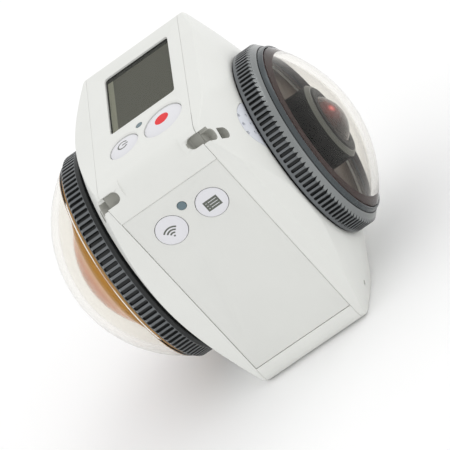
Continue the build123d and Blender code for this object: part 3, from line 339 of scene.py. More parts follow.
# Pieces behind glass have no grain height, as its fine relief would only speckle there
TOWER_BLACK = Finish("Matt black anodised barrel", "#060707", 0.5, grain_height_mm=0.0, specular=0.12)
# Painted light: the front barrel's top bevel is coloured a lighter grey green where light falls on it
BEVEL_PAINTED_LIGHT = Finish("Grey green anodised bevel", "#5F625C", 0.4, 0.4, grain_height_mm=0.0)
DISH_BROWN = Finish("Moulded grey brown baffle, satin", "#62564D", 0.5, grain_height_mm=0.0)
BEAD_MAROON = Finish("Maroon glue bead", "#43302E", 0.35, grain_height_mm=0.0)
BEAD_AMBER = Finish("Amber glue bead", "#B98A45", 0.35, grain_height_mm=0.0)
RUBBER = Finish("Moulded black silicone rubber", "#0D0D0E", 0.62, specular=0.2)
BUTTON_GREY = Finish("Moulded lilac grey key, satin", "#DBDBDF", 0.35, grain_height_mm=0.002)
RECORD_RED = Finish("Moulded red key inlay", "#DC2029", 0.35, grain_height_mm=0.002, specular=0.2)
PRINT_GREY = Finish("Grey pad print", "#5C6058", 0.5, grain_mm=0.2, grain_height_mm=0.001)
LIGHT_PIPE = Finish("Milky polycarbonate light pipe", "#62757C", 0.25, grain_mm=0.5)
# The loops' pocket walls are painted a darker grey as shade, since little light arrives inside them; the
# mould also left them rougher
POCKET_PAINTED_SHADE = Finish("Moulded ABS, rough pocket wall", "#A3A39C", 0.6)
DISPLAY_OLIVE = Finish("Passive display film, olive grey", "#4C4D44", grain_height_mm=0.0)
# Painted light: a light olive strip along the display's +Y edge stands for the lit wall of its recess
DISPLAY_PAINTED_LIGHT = Finish("Display edge film, light olive", "#858678", grain_height_mm=0.0)
# Near black for the display's frame and printed edge, and painted shade for the band along its +X edge
DISPLAY_BLACK_AND_SHADE = Finish("Black display frame", "#30312D", 0.5, grain_height_mm=0.0, specular=0.2)
GOLD_TOWER = Finish(
    "Gold anodised barrel, turned",
    "#BC8524",
    0.34,
    0.75,
    grain_mm=0.5,
    grain_height_mm=0.0,
    grain_stretch=(1.0, 5.0, 1.0),
)
LENS_RED_AND_GLINT = RingedFinish(
    "Coated glass element, deep red",
    "#4A1A14",
    0.06,
    grain_height_mm=0.0,
    coat=0.15,
    specular=0.3,
    # The rings are centred on a painted red reflection spot, fixed on the element, and fade out to its dark
    # coated tint
    centre=(-1.65, -28.47, 30.51),
    squash=(1.0, 1.0, 1.0),
    rings=(
        (0.0, "#FF8A80"),
        (0.45, "#E04A40"),
        (0.9, "#74241C"),
        (2.6, "#401B13"),
        (4.6, "#1E150D"),
        (8.0, "#3E2C25"),
    ),
)
LENS_PINK = RingedFinish(
    "Coated glass element, tan pink",
    "#D9A98A",
    0.1,
    grain_height_mm=0.0,
    coat=0.4,
    centre=(0.0, 0.0, LENS_HEIGHT),
    rings=((0.0, "#5A3020"), (4.0, "#8A4A30"), (9.0, "#C86E3A"), (12.0, "#DE8F5E"), (13.6, "#F2CBA8")),
)
BOARD_GREEN = Finish("Solder mask on glass epoxy board", "#1E5B3A", 0.35, coat=0.3, grain_mm=0.5)
CHIP_BLACK = Finish("Moulded black epoxy", "#17181A", 0.38)
BRASS = Finish("Turned brass, nickel flashed", "#C9B37A", 0.28, 1.0)
DIE_CAST = Finish("Die-cast magnesium plate", "#6F7276", 0.45, 0.7, grain_mm=0.5)
CELL_GREY = Finish("Battery sleeve, printed film", "#3C3F45", 0.35, coat=0.2, grain_mm=0.6)
COIL_COPPER = Finish("Copper coil on polyimide", "#B36A3C", 0.35, 0.6, grain_mm=0.4)
# Anti-reflection coats take most of the gloss and the haze from the domes and the window
DOME_CLEAR = ClearWindow("Moulded clear acrylic dome, bloomed", "#F6F4EF", 0.0, index=1.22, specular=0.05)
WINDOW_CLEAR = ClearWindow("Coated acrylic display window", "#F2F2EA", 0.02, index=1.1)


@cache
def made(finish: Finish) -> bpy.types.Material:
    """Gives a finish's material, which is built only once."""
    return finish.build()


# Meshes


def seat(origin: Sequence[float], outward: Sequence[float], across: Sequence[float]) -> Matrix:
    """Gives the place of a piece that is drawn flat and built outwards.

    Args:
        origin: Where the drawing's zero lies, in millimetres.
        outward: The direction in which its height grows.
        across: The direction of its first drawing axis.

    Returns:
        The matrix from the drawing to the frame.
    """
    up = Vector(outward).normalized()
    first = Vector(across).normalized()
    place = Matrix((first, up.cross(first), up)).transposed().to_4x4()
    place.translation = Vector(origin)
    return place


def lens_seat(side: Side) -> Matrix:
    """The place of a piece turned about the lens axis, with its height as the depth."""
    return seat((0, 0, LENS_HEIGHT), (0, side.value, 0), (1, 0, 0))


def linked(name: str, data: bpy.types.ID) -> Piece:
    """Puts a mesh, a lamp or a camera in the scene."""
    thing = bpy.data.objects.new(name, data)
    bpy.context.scene.collection.objects.link(thing)
    return thing


def smoothed(piece: Piece, sharp_degrees: float = SHARP_DEGREES) -> Piece:
    """Shades a piece smooth, except at edges above the angle."""
    piece.data.polygons.foreach_set("use_smooth", [True] * len(piece.data.polygons))
    piece.data.set_sharp_from_angle(angle=math.radians(sharp_degrees))
    return piece


def reworked(mesh: bpy.types.Mesh, *steps: Callable[[bmesh.types.BMesh], object]) -> None:
    """Runs steps of mesh editing on a mesh, in turn."""
    work = bmesh.new()
    work.from_mesh(mesh)
    for step in steps:
        step(work)
    work.to_mesh(mesh)
    work.free()


def merging(distance_mm: float) -> Callable[[bmesh.types.BMesh], object]:
    """Gives the step that merges points closer than a distance."""
    return lambda work: bmesh.ops.remove_doubles(work, verts=work.verts, dist=distance_mm * MM)


def face_outwards(work: bmesh.types.BMesh) -> None:
    """Turns every face outwards."""
    bmesh.ops.recalc_face_normals(work, faces=work.faces)


def solid(name: str, points: Iterable[Sequence[float]], faces: Iterable[Sequence[int]]) -> Piece:
    """Makes a piece from points in millimetres, merged and with its faces outwards.

    Args:
        name: The piece's name.
        points: Its points.
        faces: Its faces, as lists of point numbers.

    Returns:
        The piece.
    """
    mesh = bpy.data.meshes.new(name)
    mesh.from_pydata([Vector(p) * MM for p in points], [], [list(f) for f in faces])
    reworked(mesh, merging(0.0005), face_outwards)
    return smoothed(linked(name, mesh))


def band_faces(rows: int, columns: int, closed_rows: bool, closed_columns: bool = True) -> list[tuple]:
    """Joins rows of points with faces.

    Args:
        rows: The number of rows.
        columns: The number of points in each.
        closed_rows: True if the last row joins the first.
        closed_columns: True if each row is a closed ring.

    Returns:
        The faces.
    """
    faces = []
    for row in range(rows if closed_rows else rows - 1):
        here, after = row * columns, (row + 1) % rows * columns
        for column in range(columns if closed_columns else columns - 1):
            side = (column + 1) % columns
            faces.append((here + column, here + side, after + side, after + column))
    return faces


def rounded(corners: Sequence[tuple[float, float, float]], steps: int = 4) -> list[Point]:
    """Rounds the corners of a closed outline.

    Args:
        corners: Each corner's two coordinates and its radius.
        steps: The number of short edges in an arc.

    Returns:
        The outline's points.
    """
    outline: list[Point] = []
    for index, (first, second, radius) in enumerate(corners):
        here = Vector((first, second))
        if radius <= 0:
            outline.append((here.x, here.y))
            continue
        back = Vector(corners[index - 1][:2]) - here
        ahead = Vector(corners[(index + 1) % len(corners)][:2]) - here
        half = back.angle(ahead) / 2
        reach = min(radius / math.tan(half), back.length * 0.48, ahead.length * 0.48)
        middle_line = (back.normalized() + ahead.normalized()).normalized()
        radius = reach * math.tan(half)
        centre = here + middle_line * radius / math.sin(half)
        start = here + back.normalized() * reach - centre
        end = here + ahead.normalized() * reach - centre
        for step in range(steps + 1):
            spoke = centre + start.slerp(end, step / steps).normalized() * radius
            outline.append((spoke.x, spoke.y))
    return outline


def rounded_rectangle(length: float, width: float, corner: float, steps: int = 8) -> list[Point]:
    """Draws a rectangle round zero with rounded corners."""
    x, y = length / 2, width / 2
    return rounded([(x, -y, corner), (x, y, corner), (-x, y, corner), (-x, -y, corner)], steps)


def rectangle(x: float, y: float, far_x: float, far_y: float) -> list[Point]:
    """Draws a rectangle from one corner to the opposite one."""
    return [(x, y), (far_x, y), (far_x, far_y), (x, far_y)]


def circle(radius: float, count: int) -> list[Point]:
    """Draws a circle round zero."""
    turns = [2 * math.pi * i / count for i in range(count)]
    return [(radius * math.cos(a), radius * math.sin(a)) for a in turns]


def lofted(name: str, sections: Sequence[tuple[Sequence[Point], float]], place: Matrix) -> Piece:
    """Joins outlines at rising heights into a closed piece.

    Args:
        name: The piece's name.
        sections: Each outline with its height. All have the same number of points.
        place: The seat on which it is built.

    Returns:
        The piece.
    """
    columns = len(sections[0][0])
    points = [place @ Vector((x, y, height)) for outline, height in sections for x, y in outline]
    faces = band_faces(len(sections), columns, False)
    faces.append(tuple(range(columns)))
    faces.append(tuple(range((len(sections) - 1) * columns, len(sections) * columns)))
    return solid(name, points, faces)


def prism(name: str, outline: Sequence[Point], start: float, end: float, place: Matrix) -> Piece:
    """Builds up an outline into a straight piece.

    Args:
        name: The piece's name.
        outline: Its outline.
        start: The height of the seat at which it starts.
        end: The height at which it ends.
        place: The seat on which it is built.

    Returns:
        The piece.
    """
    return lofted(name, [(outline, start), (outline, end)], place)


def turned(name: str, profile: Sequence[Point], place: Matrix, segments: int = 160) -> Piece:
    """Turns a closed outline of radius and height about the seat's own axis.

    Args:
        name: The piece's name.
        profile: The outline, as radius and height.
        place: The seat on which it is built.
        segments: The number of sides.

    Returns:
        The piece.
    """
    spokes = circle(1.0, segments)
    points = [place @ Vector((r * c, r * s, h)) for r, h in profile for c, s in spokes]
    return solid(name, points, band_faces(len(profile), segments, True))


def drum(
    name: str, radius: float, start: float, end: float, place: Matrix, segments: int = 128
) -> Piece:
    """Builds a plain cylinder between two heights of a seat."""
    return turned(name, [(0, start), (radius, start), (radius, end), (0, end)], place, segments)


def baked(piece: Piece) -> None:
    """Turns a piece's modifiers into its plain mesh."""
    graph = bpy.context.evaluated_depsgraph_get()
    mesh = bpy.data.meshes.new_from_object(piece.evaluated_get(graph))
    old = piece.data
    piece.modifiers.clear()
    piece.data = mesh
    bpy.data.meshes.remove(old)


def carved(
    piece: Piece,
    tools: Iterable[Piece],
    operation: str = "DIFFERENCE",
    sharp_degrees: float = SHARP_DEGREES,
) -> None:
    """Cuts a closed piece with others, which are then gone.

    Args:
        piece: The piece.
        tools: The closed tools.
        operation: DIFFERENCE, UNION or INTERSECT.
        sharp_degrees: The angle above which an edge stays sharp.
    """
    for tool in tools:
        cut = piece.modifiers.new("cut", "BOOLEAN")
        cut.operation = operation
        cut.solver = "MANIFOLD"
        cut.object = tool
        baked(piece)
        bpy.data.objects.remove(tool)
    smoothed(piece, sharp_degrees)


def softened(node: str, width: float) -> Piece:
    """Copies a CAD node and rounds its edges a little, as a moulding's are.

    Args:
        node: The CAD node, whose own mesh isn't touched.
        width: How far the rounding reaches from an edge, in millimetres.

    Returns:
        The copy.
    """
    flat_degrees, rounded_degrees, sharp_degrees = 0.4, 28, 40
    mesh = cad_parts[node].data.copy()
    flat = math.radians(flat_degrees)
    reworked(
        mesh,
        merging(0.001),
        lambda work: bmesh.ops.dissolve_limit(work, angle_limit=flat, verts=work.verts, edges=work.edges),
    )
    mesh.materials.clear()
    copy = linked(f"{node}_soft", mesh)
    bevel = copy.modifiers.new("rounding", "BEVEL")
    bevel.width = width * MM
    bevel.segments = 2
    bevel.limit_method = "ANGLE"
    bevel.angle_limit = math.radians(rounded_degrees)
    baked(copy)
    return smoothed(copy, sharp_degrees)


def placed(
    piece: Piece, body: Body, slot: str, finish: Finish, *nodes: str
) -> Piece:
    """Gives a finished piece its finish, its body and the nodes it stands for.

    Args:
        piece: The piece.
        body: The body it rides on.
        slot: The record's material slot; not used.
        finish: Its finish.
        nodes: The CAD nodes that it replaces.

    Returns:
        The same piece.
    """
    piece.data.materials.clear()
    piece.data.materials.append(made(finish))
    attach(piece, body.value)
    if nodes:
        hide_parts(*nodes)
    LOG.info("%s: %d faces", piece.name, len(piece.data.polygons))
    return piece


def paint_where(piece: Piece, finish: Finish, test: Callable[[Vector, Vector], bool]) -> None:
    """Gives some faces of a finished piece a second finish.

    Args:
        piece: The piece.
        finish: The second finish.
        test: True for a face's centre in millimetres and its normal.
    """
    mesh = piece.data
    mesh.materials.append(made(finish))
    index = len(mesh.materials) - 1
    for face in mesh.polygons:
        if test(face.center / MM, face.normal):
            face.material_index = index


def dress(finish: Finish, *nodes: str) -> None:
    """Gives CAD nodes that stay a finish in place of their flat colour."""
    for node in nodes:
        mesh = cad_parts[node].data
        mesh.materials.clear()
        mesh.materials.append(made(finish))
        LOG.info("%s: %s", node, finish.name)


# Geometry Nodes


def node_group(name: str, inputs: dict[str, str]) -> tuple[Tree, Sequence]:
    """Starts a Geometry Nodes tree.

    Args:
        name: The tree's name.
        inputs: The socket type of each named input after the geometry.

    Returns:
        The tree and the sockets of what it is given.
    """
    tree = bpy.data.node_groups.new(name, "GeometryNodeTree")
    tree.interface.new_socket("Geometry", in_out="INPUT", socket_type="NodeSocketGeometry")
    for label, kind in inputs.items():
        tree.interface.new_socket(label, in_out="INPUT", socket_type=kind)
    tree.interface.new_socket("Material", in_out="INPUT", socket_type="NodeSocketMaterial")
    tree.interface.new_socket("Geometry", in_out="OUTPUT", socket_type="NodeSocketGeometry")
    return tree, add_node(tree, "NodeGroupInput").outputs


def copies_on(tree: Tree, points: dict[str, Socket]) -> Socket:
    """Adds real copies on points, from the inputs of the node that puts them there."""
    copies = wired(tree, "GeometryNodeInstanceOnPoints", "Instances", points)
    return wired(tree, "GeometryNodeRealizeInstances", "Geometry", {"Geometry": copies})


def painted_end(tree: Tree, geometry: Socket, given: Sequence) -> None:
    """Ends a tree with its geometry in the given material."""
    values = {"Geometry": geometry, "Material": given["Material"]}
    painted = wired(tree, "GeometryNodeSetMaterial", "Geometry", values)
    add_node(tree, "NodeGroupOutput", {"Geometry": painted})


def apply_group(piece: Piece, tree: Tree, values: dict[str, object]) -> None:
    """Runs a tree on a piece and keeps the plain mesh.

    Args:
        piece: The piece.
        tree: The tree.
        values: A value for each named input.
    """
    work = piece.modifiers.new(tree.name, "NODES")
    work.node_group = tree
    for item in tree.interface.items_tree:
        if item.item_type == "SOCKET" and item.in_out == "INPUT" and item.name in values:
            work[item.identifier] = values[item.name]
    baked(piece)


def wheel_tree() -> Tree:
    """Makes the tree that repeats one sector round the lens axis."""
    kinds = {"Count": "NodeSocketInt", "Axis Height": "NodeSocketFloat"}
    tree, given = node_group("Sectors round the lens axis", kinds)
    hub = wired(tree, "ShaderNodeCombineXYZ", "Vector", {"Z": given["Axis Height"]})
    spots = wired(tree, "GeometryNodePoints", "Points", {"Count": given["Count"], "Position": hub})
    number = wired(tree, "GeometryNodeInputIndex", "Index")
    angle = maths(tree, "MULTIPLY", maths(tree, "DIVIDE", number, given["Count"]), 2 * math.pi)
    turn = wired(tree, "ShaderNodeCombineXYZ", "Vector", {"Y": angle})
    real = copies_on(tree, {"Points": spots, "Instance": given["Geometry"], "Rotation": turn})
    values = {"Geometry": real, "Distance": 0.002 * MM}
    painted_end(tree, wired(tree, "GeometryNodeMergeByDistance", "Geometry", values), given)
    return tree


def dots_tree() -> Tree:
    """Makes the tree that repeats a drill over a rectangular field, for perforations."""
    kinds = {
        "Columns": "NodeSocketInt",
        "Rows": "NodeSocketInt",
        "Pitch": "NodeSocketFloat",
        "Turn": "NodeSocketFloat",
        "Middle": "NodeSocketVector",
    }
    tree, given = node_group("Field of drills", kinds)
    sizes = {}
    for axis, label in (("X", "Columns"), ("Y", "Rows")):
        steps = maths(tree, "SUBTRACT", given[label], 1.0)
        sizes[f"Size {axis}"] = maths(tree, "MULTIPLY", steps, given["Pitch"])
        sizes[f"Vertices {axis}"] = given[label]
    grid = wired(tree, "GeometryNodeMeshGrid", "Mesh", sizes)
    kind = "GeometryNodeTransform"
    upright = wired(tree, kind, "Geometry", {"Geometry": grid, "Rotation": (math.pi / 2, 0.0, 0.0)})
    turn = wired(tree, "ShaderNodeCombineXYZ", "Vector", {"Y": given["Turn"]})
    values = {"Geometry": upright, "Rotation": turn, "Translation": given["Middle"]}
    set_down = wired(tree, kind, "Geometry", values)
    painted_end(tree, copies_on(tree, {"Points": set_down, "Instance": given["Geometry"]}), given)
    return tree


# Ends of the lens axis


@dataclass
class LensEnd:
    """A sub-assembly on one end of the lens axis, with the CAD nodes that the end's name starts."""

    side: Side

    @property
    def word(self) -> str:
        """The end's name."""
        return self.side.name.lower()

    def box(self, part: str) -> Extent:
        """The box of this end's part."""
        return Extent.of(f"{self.word}_{part}")

    def near(self, part: str) -> float:
        """The depth at which this end's part starts."""
        return min(y * self.side.value for y in (self.box(part).low.y, self.box(part).high.y))

    def far(self, part: str) -> float:
        """The depth at which this end's part ends."""
        return max(y * self.side.value for y in (self.box(part).low.y, self.box(part).high.y))

    def lathed(self, part: str, corners: Sequence[tuple[float, float, float]], segments: int = 192) -> Piece:
        """Turns an outline in the place of this end's part.

        Args:
            part: The part.
            corners: Each corner's radius, its depth and how far it is rounded.
            segments: The number of sides.

        Returns:
            The piece.
        """
        return turned(f"{self.word}_{part}_turned", rounded(corners, 3), lens_seat(self.side), segments)


def ball_radius(reach: float, rise: float) -> float:
    """Gives the radius of the ball whose cap has a reach and a rise."""
    return (reach**2 + rise**2) / (2 * rise)


def ball_profile(radius: float, centre: float, start: float, end: float, count: int) -> list[Point]:
    """Draws part of a ball on the lens axis, between two angles from its tip."""
    turns = np.linspace(start, end, count)
    return [(radius * math.sin(a), centre + radius * math.cos(a)) for a in turns]


# Casing

# The angle in degrees above which an edge of the shells stays sharp
CASING_SHARP = 24.0
ALONG_Y = seat((0, 0, 0), (0, 1, 0), (1, 0, 0))
# Keeps the faces of a tool and of what it cuts from lying in one plane
HAIR = 0.01


def smooth_least(values: Sequence[np.ndarray], blend: float) -> np.ndarray:
    """Takes the least of several depths, with its creases rounded.

    Args:
        values: The depths of each plane or cone.
        blend: How close two depths are, in millimetres, where the rounding starts.

    Returns:
        The rounded least depth.
    """
    least = values[0]
    for value in values[1:]:
        overlap = np.clip(blend - np.abs(least - value), 0, None) / blend
        least = np.minimum(least, value) - overlap**2 * blend / 4
    return least


@dataclass
class ShellSkin(LensEnd):
    """One end of the casing: a flat and a cone about the lens axis, with soft creases.

    The front end also has a flat facet towards each of its four sides.
    """

    flat_inset: float
    slope: float
    ring_wall: float
    loop_start: float
    facet_drop: float = 0.0
    edge_radius: float = 3.2
    crease: float = 0.5
    wall: float = 1.7
    collar_wall: float = 1.4
    collar_lip: float = 0.2
    blend: float = 0.32
    seam_close: float = 0.07
    seam_chamfer: float = 0.04
    frame_gap: float = 0.12
    cavity_share: float = 0.6
    cavity_overrun: float = 1.0
    slope_rows: int = 36
    columns: int = 480
    flat_depth: float = field(init=False)
    flat_radius: float = field(init=False)
    seam_depth: float = field(init=False)
    frame_depth: float = field(init=False)
    collar_radius: float = field(init=False)
    collar_depth: float = field(init=False)

    def __post_init__(self) -> None:
        """Reads the depths and radii from the frame."""
        self.flat_depth = self.near("gasket")
        self.flat_radius = COVER_ROOM - self.flat_inset
        self.seam_depth = self.near("shell") - self.seam_close
        self.frame_depth = self.near("shell") - self.frame_gap
        self.collar_radius = self.box("ring").radius - self.ring_wall
        self.collar_depth = self.far("shell")

    def depth(self, x: np.ndarray | float, w: np.ndarray | float) -> np.ndarray:
        """Gives the outer surface's depth.

        Args:
            x: Distance from the lens axis along X.
            w: Distance above the lens axis.

        Returns:
            The depth at each point.
        """
        cone = self.flat_depth - self.slope * (np.hypot(x, w) - self.flat_radius)
        values = [np.full_like(cone, self.flat_depth), cone]
        if self.facet_drop:
            top = BODY_HEIGHT - LENS_HEIGHT
            for reach, room in ((np.abs(x), HALF_WIDTH), (w, top), (-w, LENS_HEIGHT)):
                slope = self.facet_drop / (room - self.flat_radius)
                values.append(self.flat_depth - slope * (reach - self.flat_radius))
        return smooth_least(values, self.blend)

    def outline(self, inset: np.ndarray | float) -> tuple[np.ndarray, np.ndarray]:
        """Gives the casing's outline, seen along the lens axis.

        Args:
            inset: How far inside the real outline, for all or for each point.

        Returns:
            The points' two distances from the lens axis.
        """
        r = self.edge_radius
        half, low, high = HALF_WIDTH - r, r - LENS_HEIGHT, BODY_HEIGHT - r - LENS_HEIGHT
        corners = ((half, high), (-half, high), (-half, low), (half, low))
        runs = [r * math.pi / 2, 2 * half, r * math.pi / 2, high - low] * 2
        middles, spokes = [], []
        for step in range(self.columns):
            at = sum(runs) * step / self.columns
            run = 0
            while at > runs[run]:
                at -= runs[run]
                run += 1
            quarter, straight = divmod(run, 2)
            (x, w), (next_x, next_w) = corners[quarter], corners[(quarter + 1) % 4]
            share, turned_by = (at / runs[run], 0.0) if straight else (0.0, at / r)
            turn = math.pi / 2 * (quarter + straight) + turned_by
            middles.append((x + (next_x - x) * share, w + (next_w - w) * share))
            spokes.append((math.cos(turn), math.sin(turn)))
        (xs, ws), (nx, nw) = np.array(middles).T, np.array(spokes).T
        return xs + r * nx - inset * nx, ws + r * nw - inset * nw

    def rows(self, skin: float) -> list[tuple[np.ndarray, np.ndarray, np.ndarray]]:
        """Lays out the rings of points of a closed form.

        Args:
            skin: How far the form lies inside the outer surface.

        Returns:
            Each ring's distances from the lens axis and depths.
        """
        edge, hub = self.crease, np.zeros(self.columns)
        near = self.depth(*self.outline(skin + edge))
        far = self.depth(*self.outline(skin + 2 * edge))
        end_turn = np.arctan2(1.0, np.clip((far - near) / edge, 0.0, None))
        mx, mw = self.outline(skin + edge * (1 - np.cos(end_turn)))
        turn = np.arctan2(mw, mx)
        start = self.collar_radius * (1 if skin == 0 else self.cavity_share)
        rx, rw = start * np.cos(turn), start * np.sin(turn)
        if skin == 0:
            top, inner = hub + self.collar_depth, 1 - self.collar_lip / start
            found = [(hub, hub, top), (rx * inner, rw * inner, top), (rx, rw, top - self.collar_lip)]
        else:
            found = [(hub, hub, hub + self.flat_depth - skin)]
        for share in np.linspace(0, 1, self.slope_rows):
            x, w = rx + (mx - rx) * share, rw + (mw - rw) * share
            found.append((x, w, self.depth(x, w) - skin))
        base = self.depth(mx, mw) - skin - edge * np.sin(end_turn)
        for share in (0.75, 0.5, 0.25, 0.0):
            x, w = self.outline(skin + edge * (1 - np.cos(end_turn * share)))
            found.append((x, w, base + edge * np.sin(end_turn * share)))
        seam = hub + self.seam_depth
        if skin == 0:
            found.append((x, w, seam + self.seam_chamfer))
            return [*found, (*self.outline(self.seam_chamfer), seam), (hub, hub, seam)]
        back = seam - self.cavity_overrun
        return [*found, (x, w, back), (hub, hub, back)]

    def form(self, name: str, skin: float) -> Piece:
        """Builds the closed form that the rings describe."""
        points = []
        rings = self.rows(skin)
        for x, w, depth in rings:
            points.extend(zip(x, depth * self.side.value, w + LENS_HEIGHT))
        return solid(name, points, band_faces(len(rings), self.columns, False))


@dataclass
class StrapLoop:
    """A cord loop at one corner: a slot that bends over the crease, a bar and a half-round hole."""

    skin: ShellSkin
    width: float = 2.45
    run: float = 6.0
    tilt_degrees: float = 26.0
    pocket: float = 2.1
    slot_inset: float = 3.1
    slot_reach: float = 5.0
    slot_depth: float = 1.7
    bar: float = 0.8
    hole: float = 2.7
    hole_depth: float = 1.3
    hole_lean_degrees: float = 18.0
    block_inset: float = 9.0
    block_width: float = 7.0
    block_length: float = 20.0
    block_depths: Point = (10.0, 21.0)
    cut_room: float = 9.0
    cut_depth: float = 3.0
    filler_room: float = 5.4
    filler_behind: float = 1.2
    flare_top: float = 0.05
    wall_gap: float = 0.06
    wall_margin: float = 0.25
    wall_reach: float = 24.0

    @property
    def sign(self) -> int:
        """The way out of the casing along Y."""
        return self.skin.side.value

    @property
    def normal(self) -> Vector:
        """The outward direction of the rounded edge, where the slot starts."""
        tilt = math.radians(self.tilt_degrees)
        return Vector((-math.cos(tilt), 0, math.sin(tilt)))

    @property
    def corner(self) -> Vector:
        """The point of the rounded edge over which the slot runs, from the lens axis."""
        r = self.skin.edge_radius
        return Vector((r - HALF_WIDTH, 0, BODY_HEIGHT - r - LENS_HEIGHT)) + self.normal * r

    def depth_at(self, reach: float) -> float:
        """Gives the depth of the shell's skin on the loop's line, at a distance from the axis."""
        way = self.corner.normalized() * reach
        return float(self.skin.depth(way.x, way.z))

    def slope_seat(self, inset: float, lean_degrees: float = 0.0) -> Matrix:
        """Gives a seat on the shell's slope, with the drawing's x running out to the corner.

        Args:
            inset: The distance from the corner.
            lean_degrees: How far the seat is turned, so that a floor rises towards the axis.

        Returns:
            The seat.
        """
        reach, along = self.corner.length - inset, self.corner.normalized()
        rise = self.depth_at(reach - 0.5) - self.depth_at(reach + 0.5)
        lean = math.atan(rise) - math.radians(lean_degrees)
        axis = Vector((0, self.sign, 0))
        origin = along * reach + axis * self.depth_at(reach) + Vector((0, 0, LENS_HEIGHT))
        outward = axis * math.cos(lean) + along * math.sin(lean)
        return seat(origin, outward, along * math.cos(lean) - axis * math.sin(lean))

    def block(self) -> Piece:
        """Builds the solid block that backs the loop."""
        place = seat((0, 0, LENS_HEIGHT), (0, self.sign, 0), self.corner)
        half, inner = self.block_width / 2, self.corner.length - self.block_inset
        outline = rectangle(inner, -half, inner + self.block_length, half)
        return prism("strap_block", outline, *self.block_depths, place)

    def trimmer(self) -> Piece:
        """Builds the tool that takes the middle frame's tongues away behind the loop."""
        x, z, room = HALF_WIDTH + 1, BODY_HEIGHT + 1, self.cut_room
        ends = (-HAIR, self.cut_depth)
        start, stop = sorted(self.sign * (self.skin.frame_depth + more) for more in ends)
        return prism("tongue_cut", rectangle(-x, -z, room - x, room - z), start, stop, ALONG_Y)

    def filler(self) -> Piece:
        """Builds the solid corner of the middle frame round the pocket's start."""
        x, z, room, r = HALF_WIDTH, BODY_HEIGHT, self.filler_room, self.skin.edge_radius
        outline = rounded([(-x, z - room, 0), (-x, z, r), (room - x, z, 0), (room - x, z - room, 0)], 12)
        across = [(px, -pz) for px, pz in outline]
        ends = (self.skin.loop_start - self.filler_behind, abs(self.skin.frame_depth) - HAIR)
        start, stop = sorted(self.sign * depth for depth in ends)
        return prism("corner_filler", across, start, stop, ALONG_Y)

    def in_loop(self, centre: Vector, normal: Vector) -> bool:
        """Tells whether a face lies below the casing's skin in the loop's slot or hole."""
        gap, r = self.wall_gap, self.skin.edge_radius
        w, along = centre.z - LENS_HEIGHT, self.corner.normalized()
        reach, aside = centre.x * along.x + w * along.z, abs(centre.x * along.z - w * along.x)
        if aside > self.width / 2 + self.wall_margin or reach <= self.wall_reach:
            return False
        spoke = r
        if centre.x < r - HALF_WIDTH and centre.z > BODY_HEIGHT - r:
            spoke = math.hypot(centre.x + HALF_WIDTH - r, centre.z - BODY_HEIGHT + r)
        below_edge = spoke < r - gap or spoke == r
        flush = centre.x < gap - HALF_WIDTH or centre.z > BODY_HEIGHT - gap
        skin = float(self.skin.depth(centre.x, w))
        return below_edge and not flush and self.skin.loop_start - 0.2 < centre.y * self.sign < skin - gap

    def slot_tool(
        self,
        name: str,
        length: float,
        flare: float,
        roundness: float,
        heights: Sequence[float],
        place: Matrix,
    ) -> Piece:
        """Builds a tool for a slot with round ends that widens at the skin.

        Args:
            name: The tool's name.
            length: The slot's length.
            flare: How much wider it is at the skin.
            roundness: The share of half its width that its corners take.
            heights: Its floor, the start of the flare and the tool's top.
            place: Its seat.

        Returns:
            The tool.
        """
        corner = self.width / 2 * roundness
        slot = rounded_rectangle(length, self.width, corner)
        wide = rounded_rectangle(length + flare, self.width + flare, corner)
        floor, start, top = heights
        sections = [(slot, floor), (slot, start), (wide, self.flare_top), (wide, top)]
        return lofted(name, sections, place)

    def pocket_cutter(self) -> Piece:
        """Builds the tool that cuts the start of the slot along the corner's edge."""
        place = seat(self.corner + Vector((0, 0, LENS_HEIGHT)), self.normal, (0, 1, 0))
        middle = self.sign * (self.skin.loop_start + self.run / 2)
        along = place @ Matrix.Translation((middle, 0, 0))
        return self.slot_tool("strap_pocket", self.run, 0.3, 0.98, (-self.pocket, -0.25, 1.0), along)

    def cutters(self) -> list[Piece]:
        """Builds the tools that cut the loop into a shell.

        Returns:
            The slot along the edge, its way over the slope and the half-round hole.
        """
        length = self.slot_inset + self.slot_reach
        over = self.slope_seat(self.slot_inset) @ Matrix.Translation((length / 2, 0, 0))
        slot = self.slot_tool("strap_slot", length, 0.2, 0.9, (-self.slot_depth, -0.2, 2.0), over)
        half, end = self.width / 2, self.width / 2 * 0.9
        corners = [(0, -half, 0.2), (0, half, 0.2), (-self.hole, half, end), (-self.hole, -half, end)]
        hole = rounded(corners, 8)
        place = self.slope_seat(self.slot_inset + self.bar, self.hole_lean_degrees)
        return [self.pocket_cutter(), slot, prism("strap_hole", hole, -self.hole_depth, 2.0, place)]


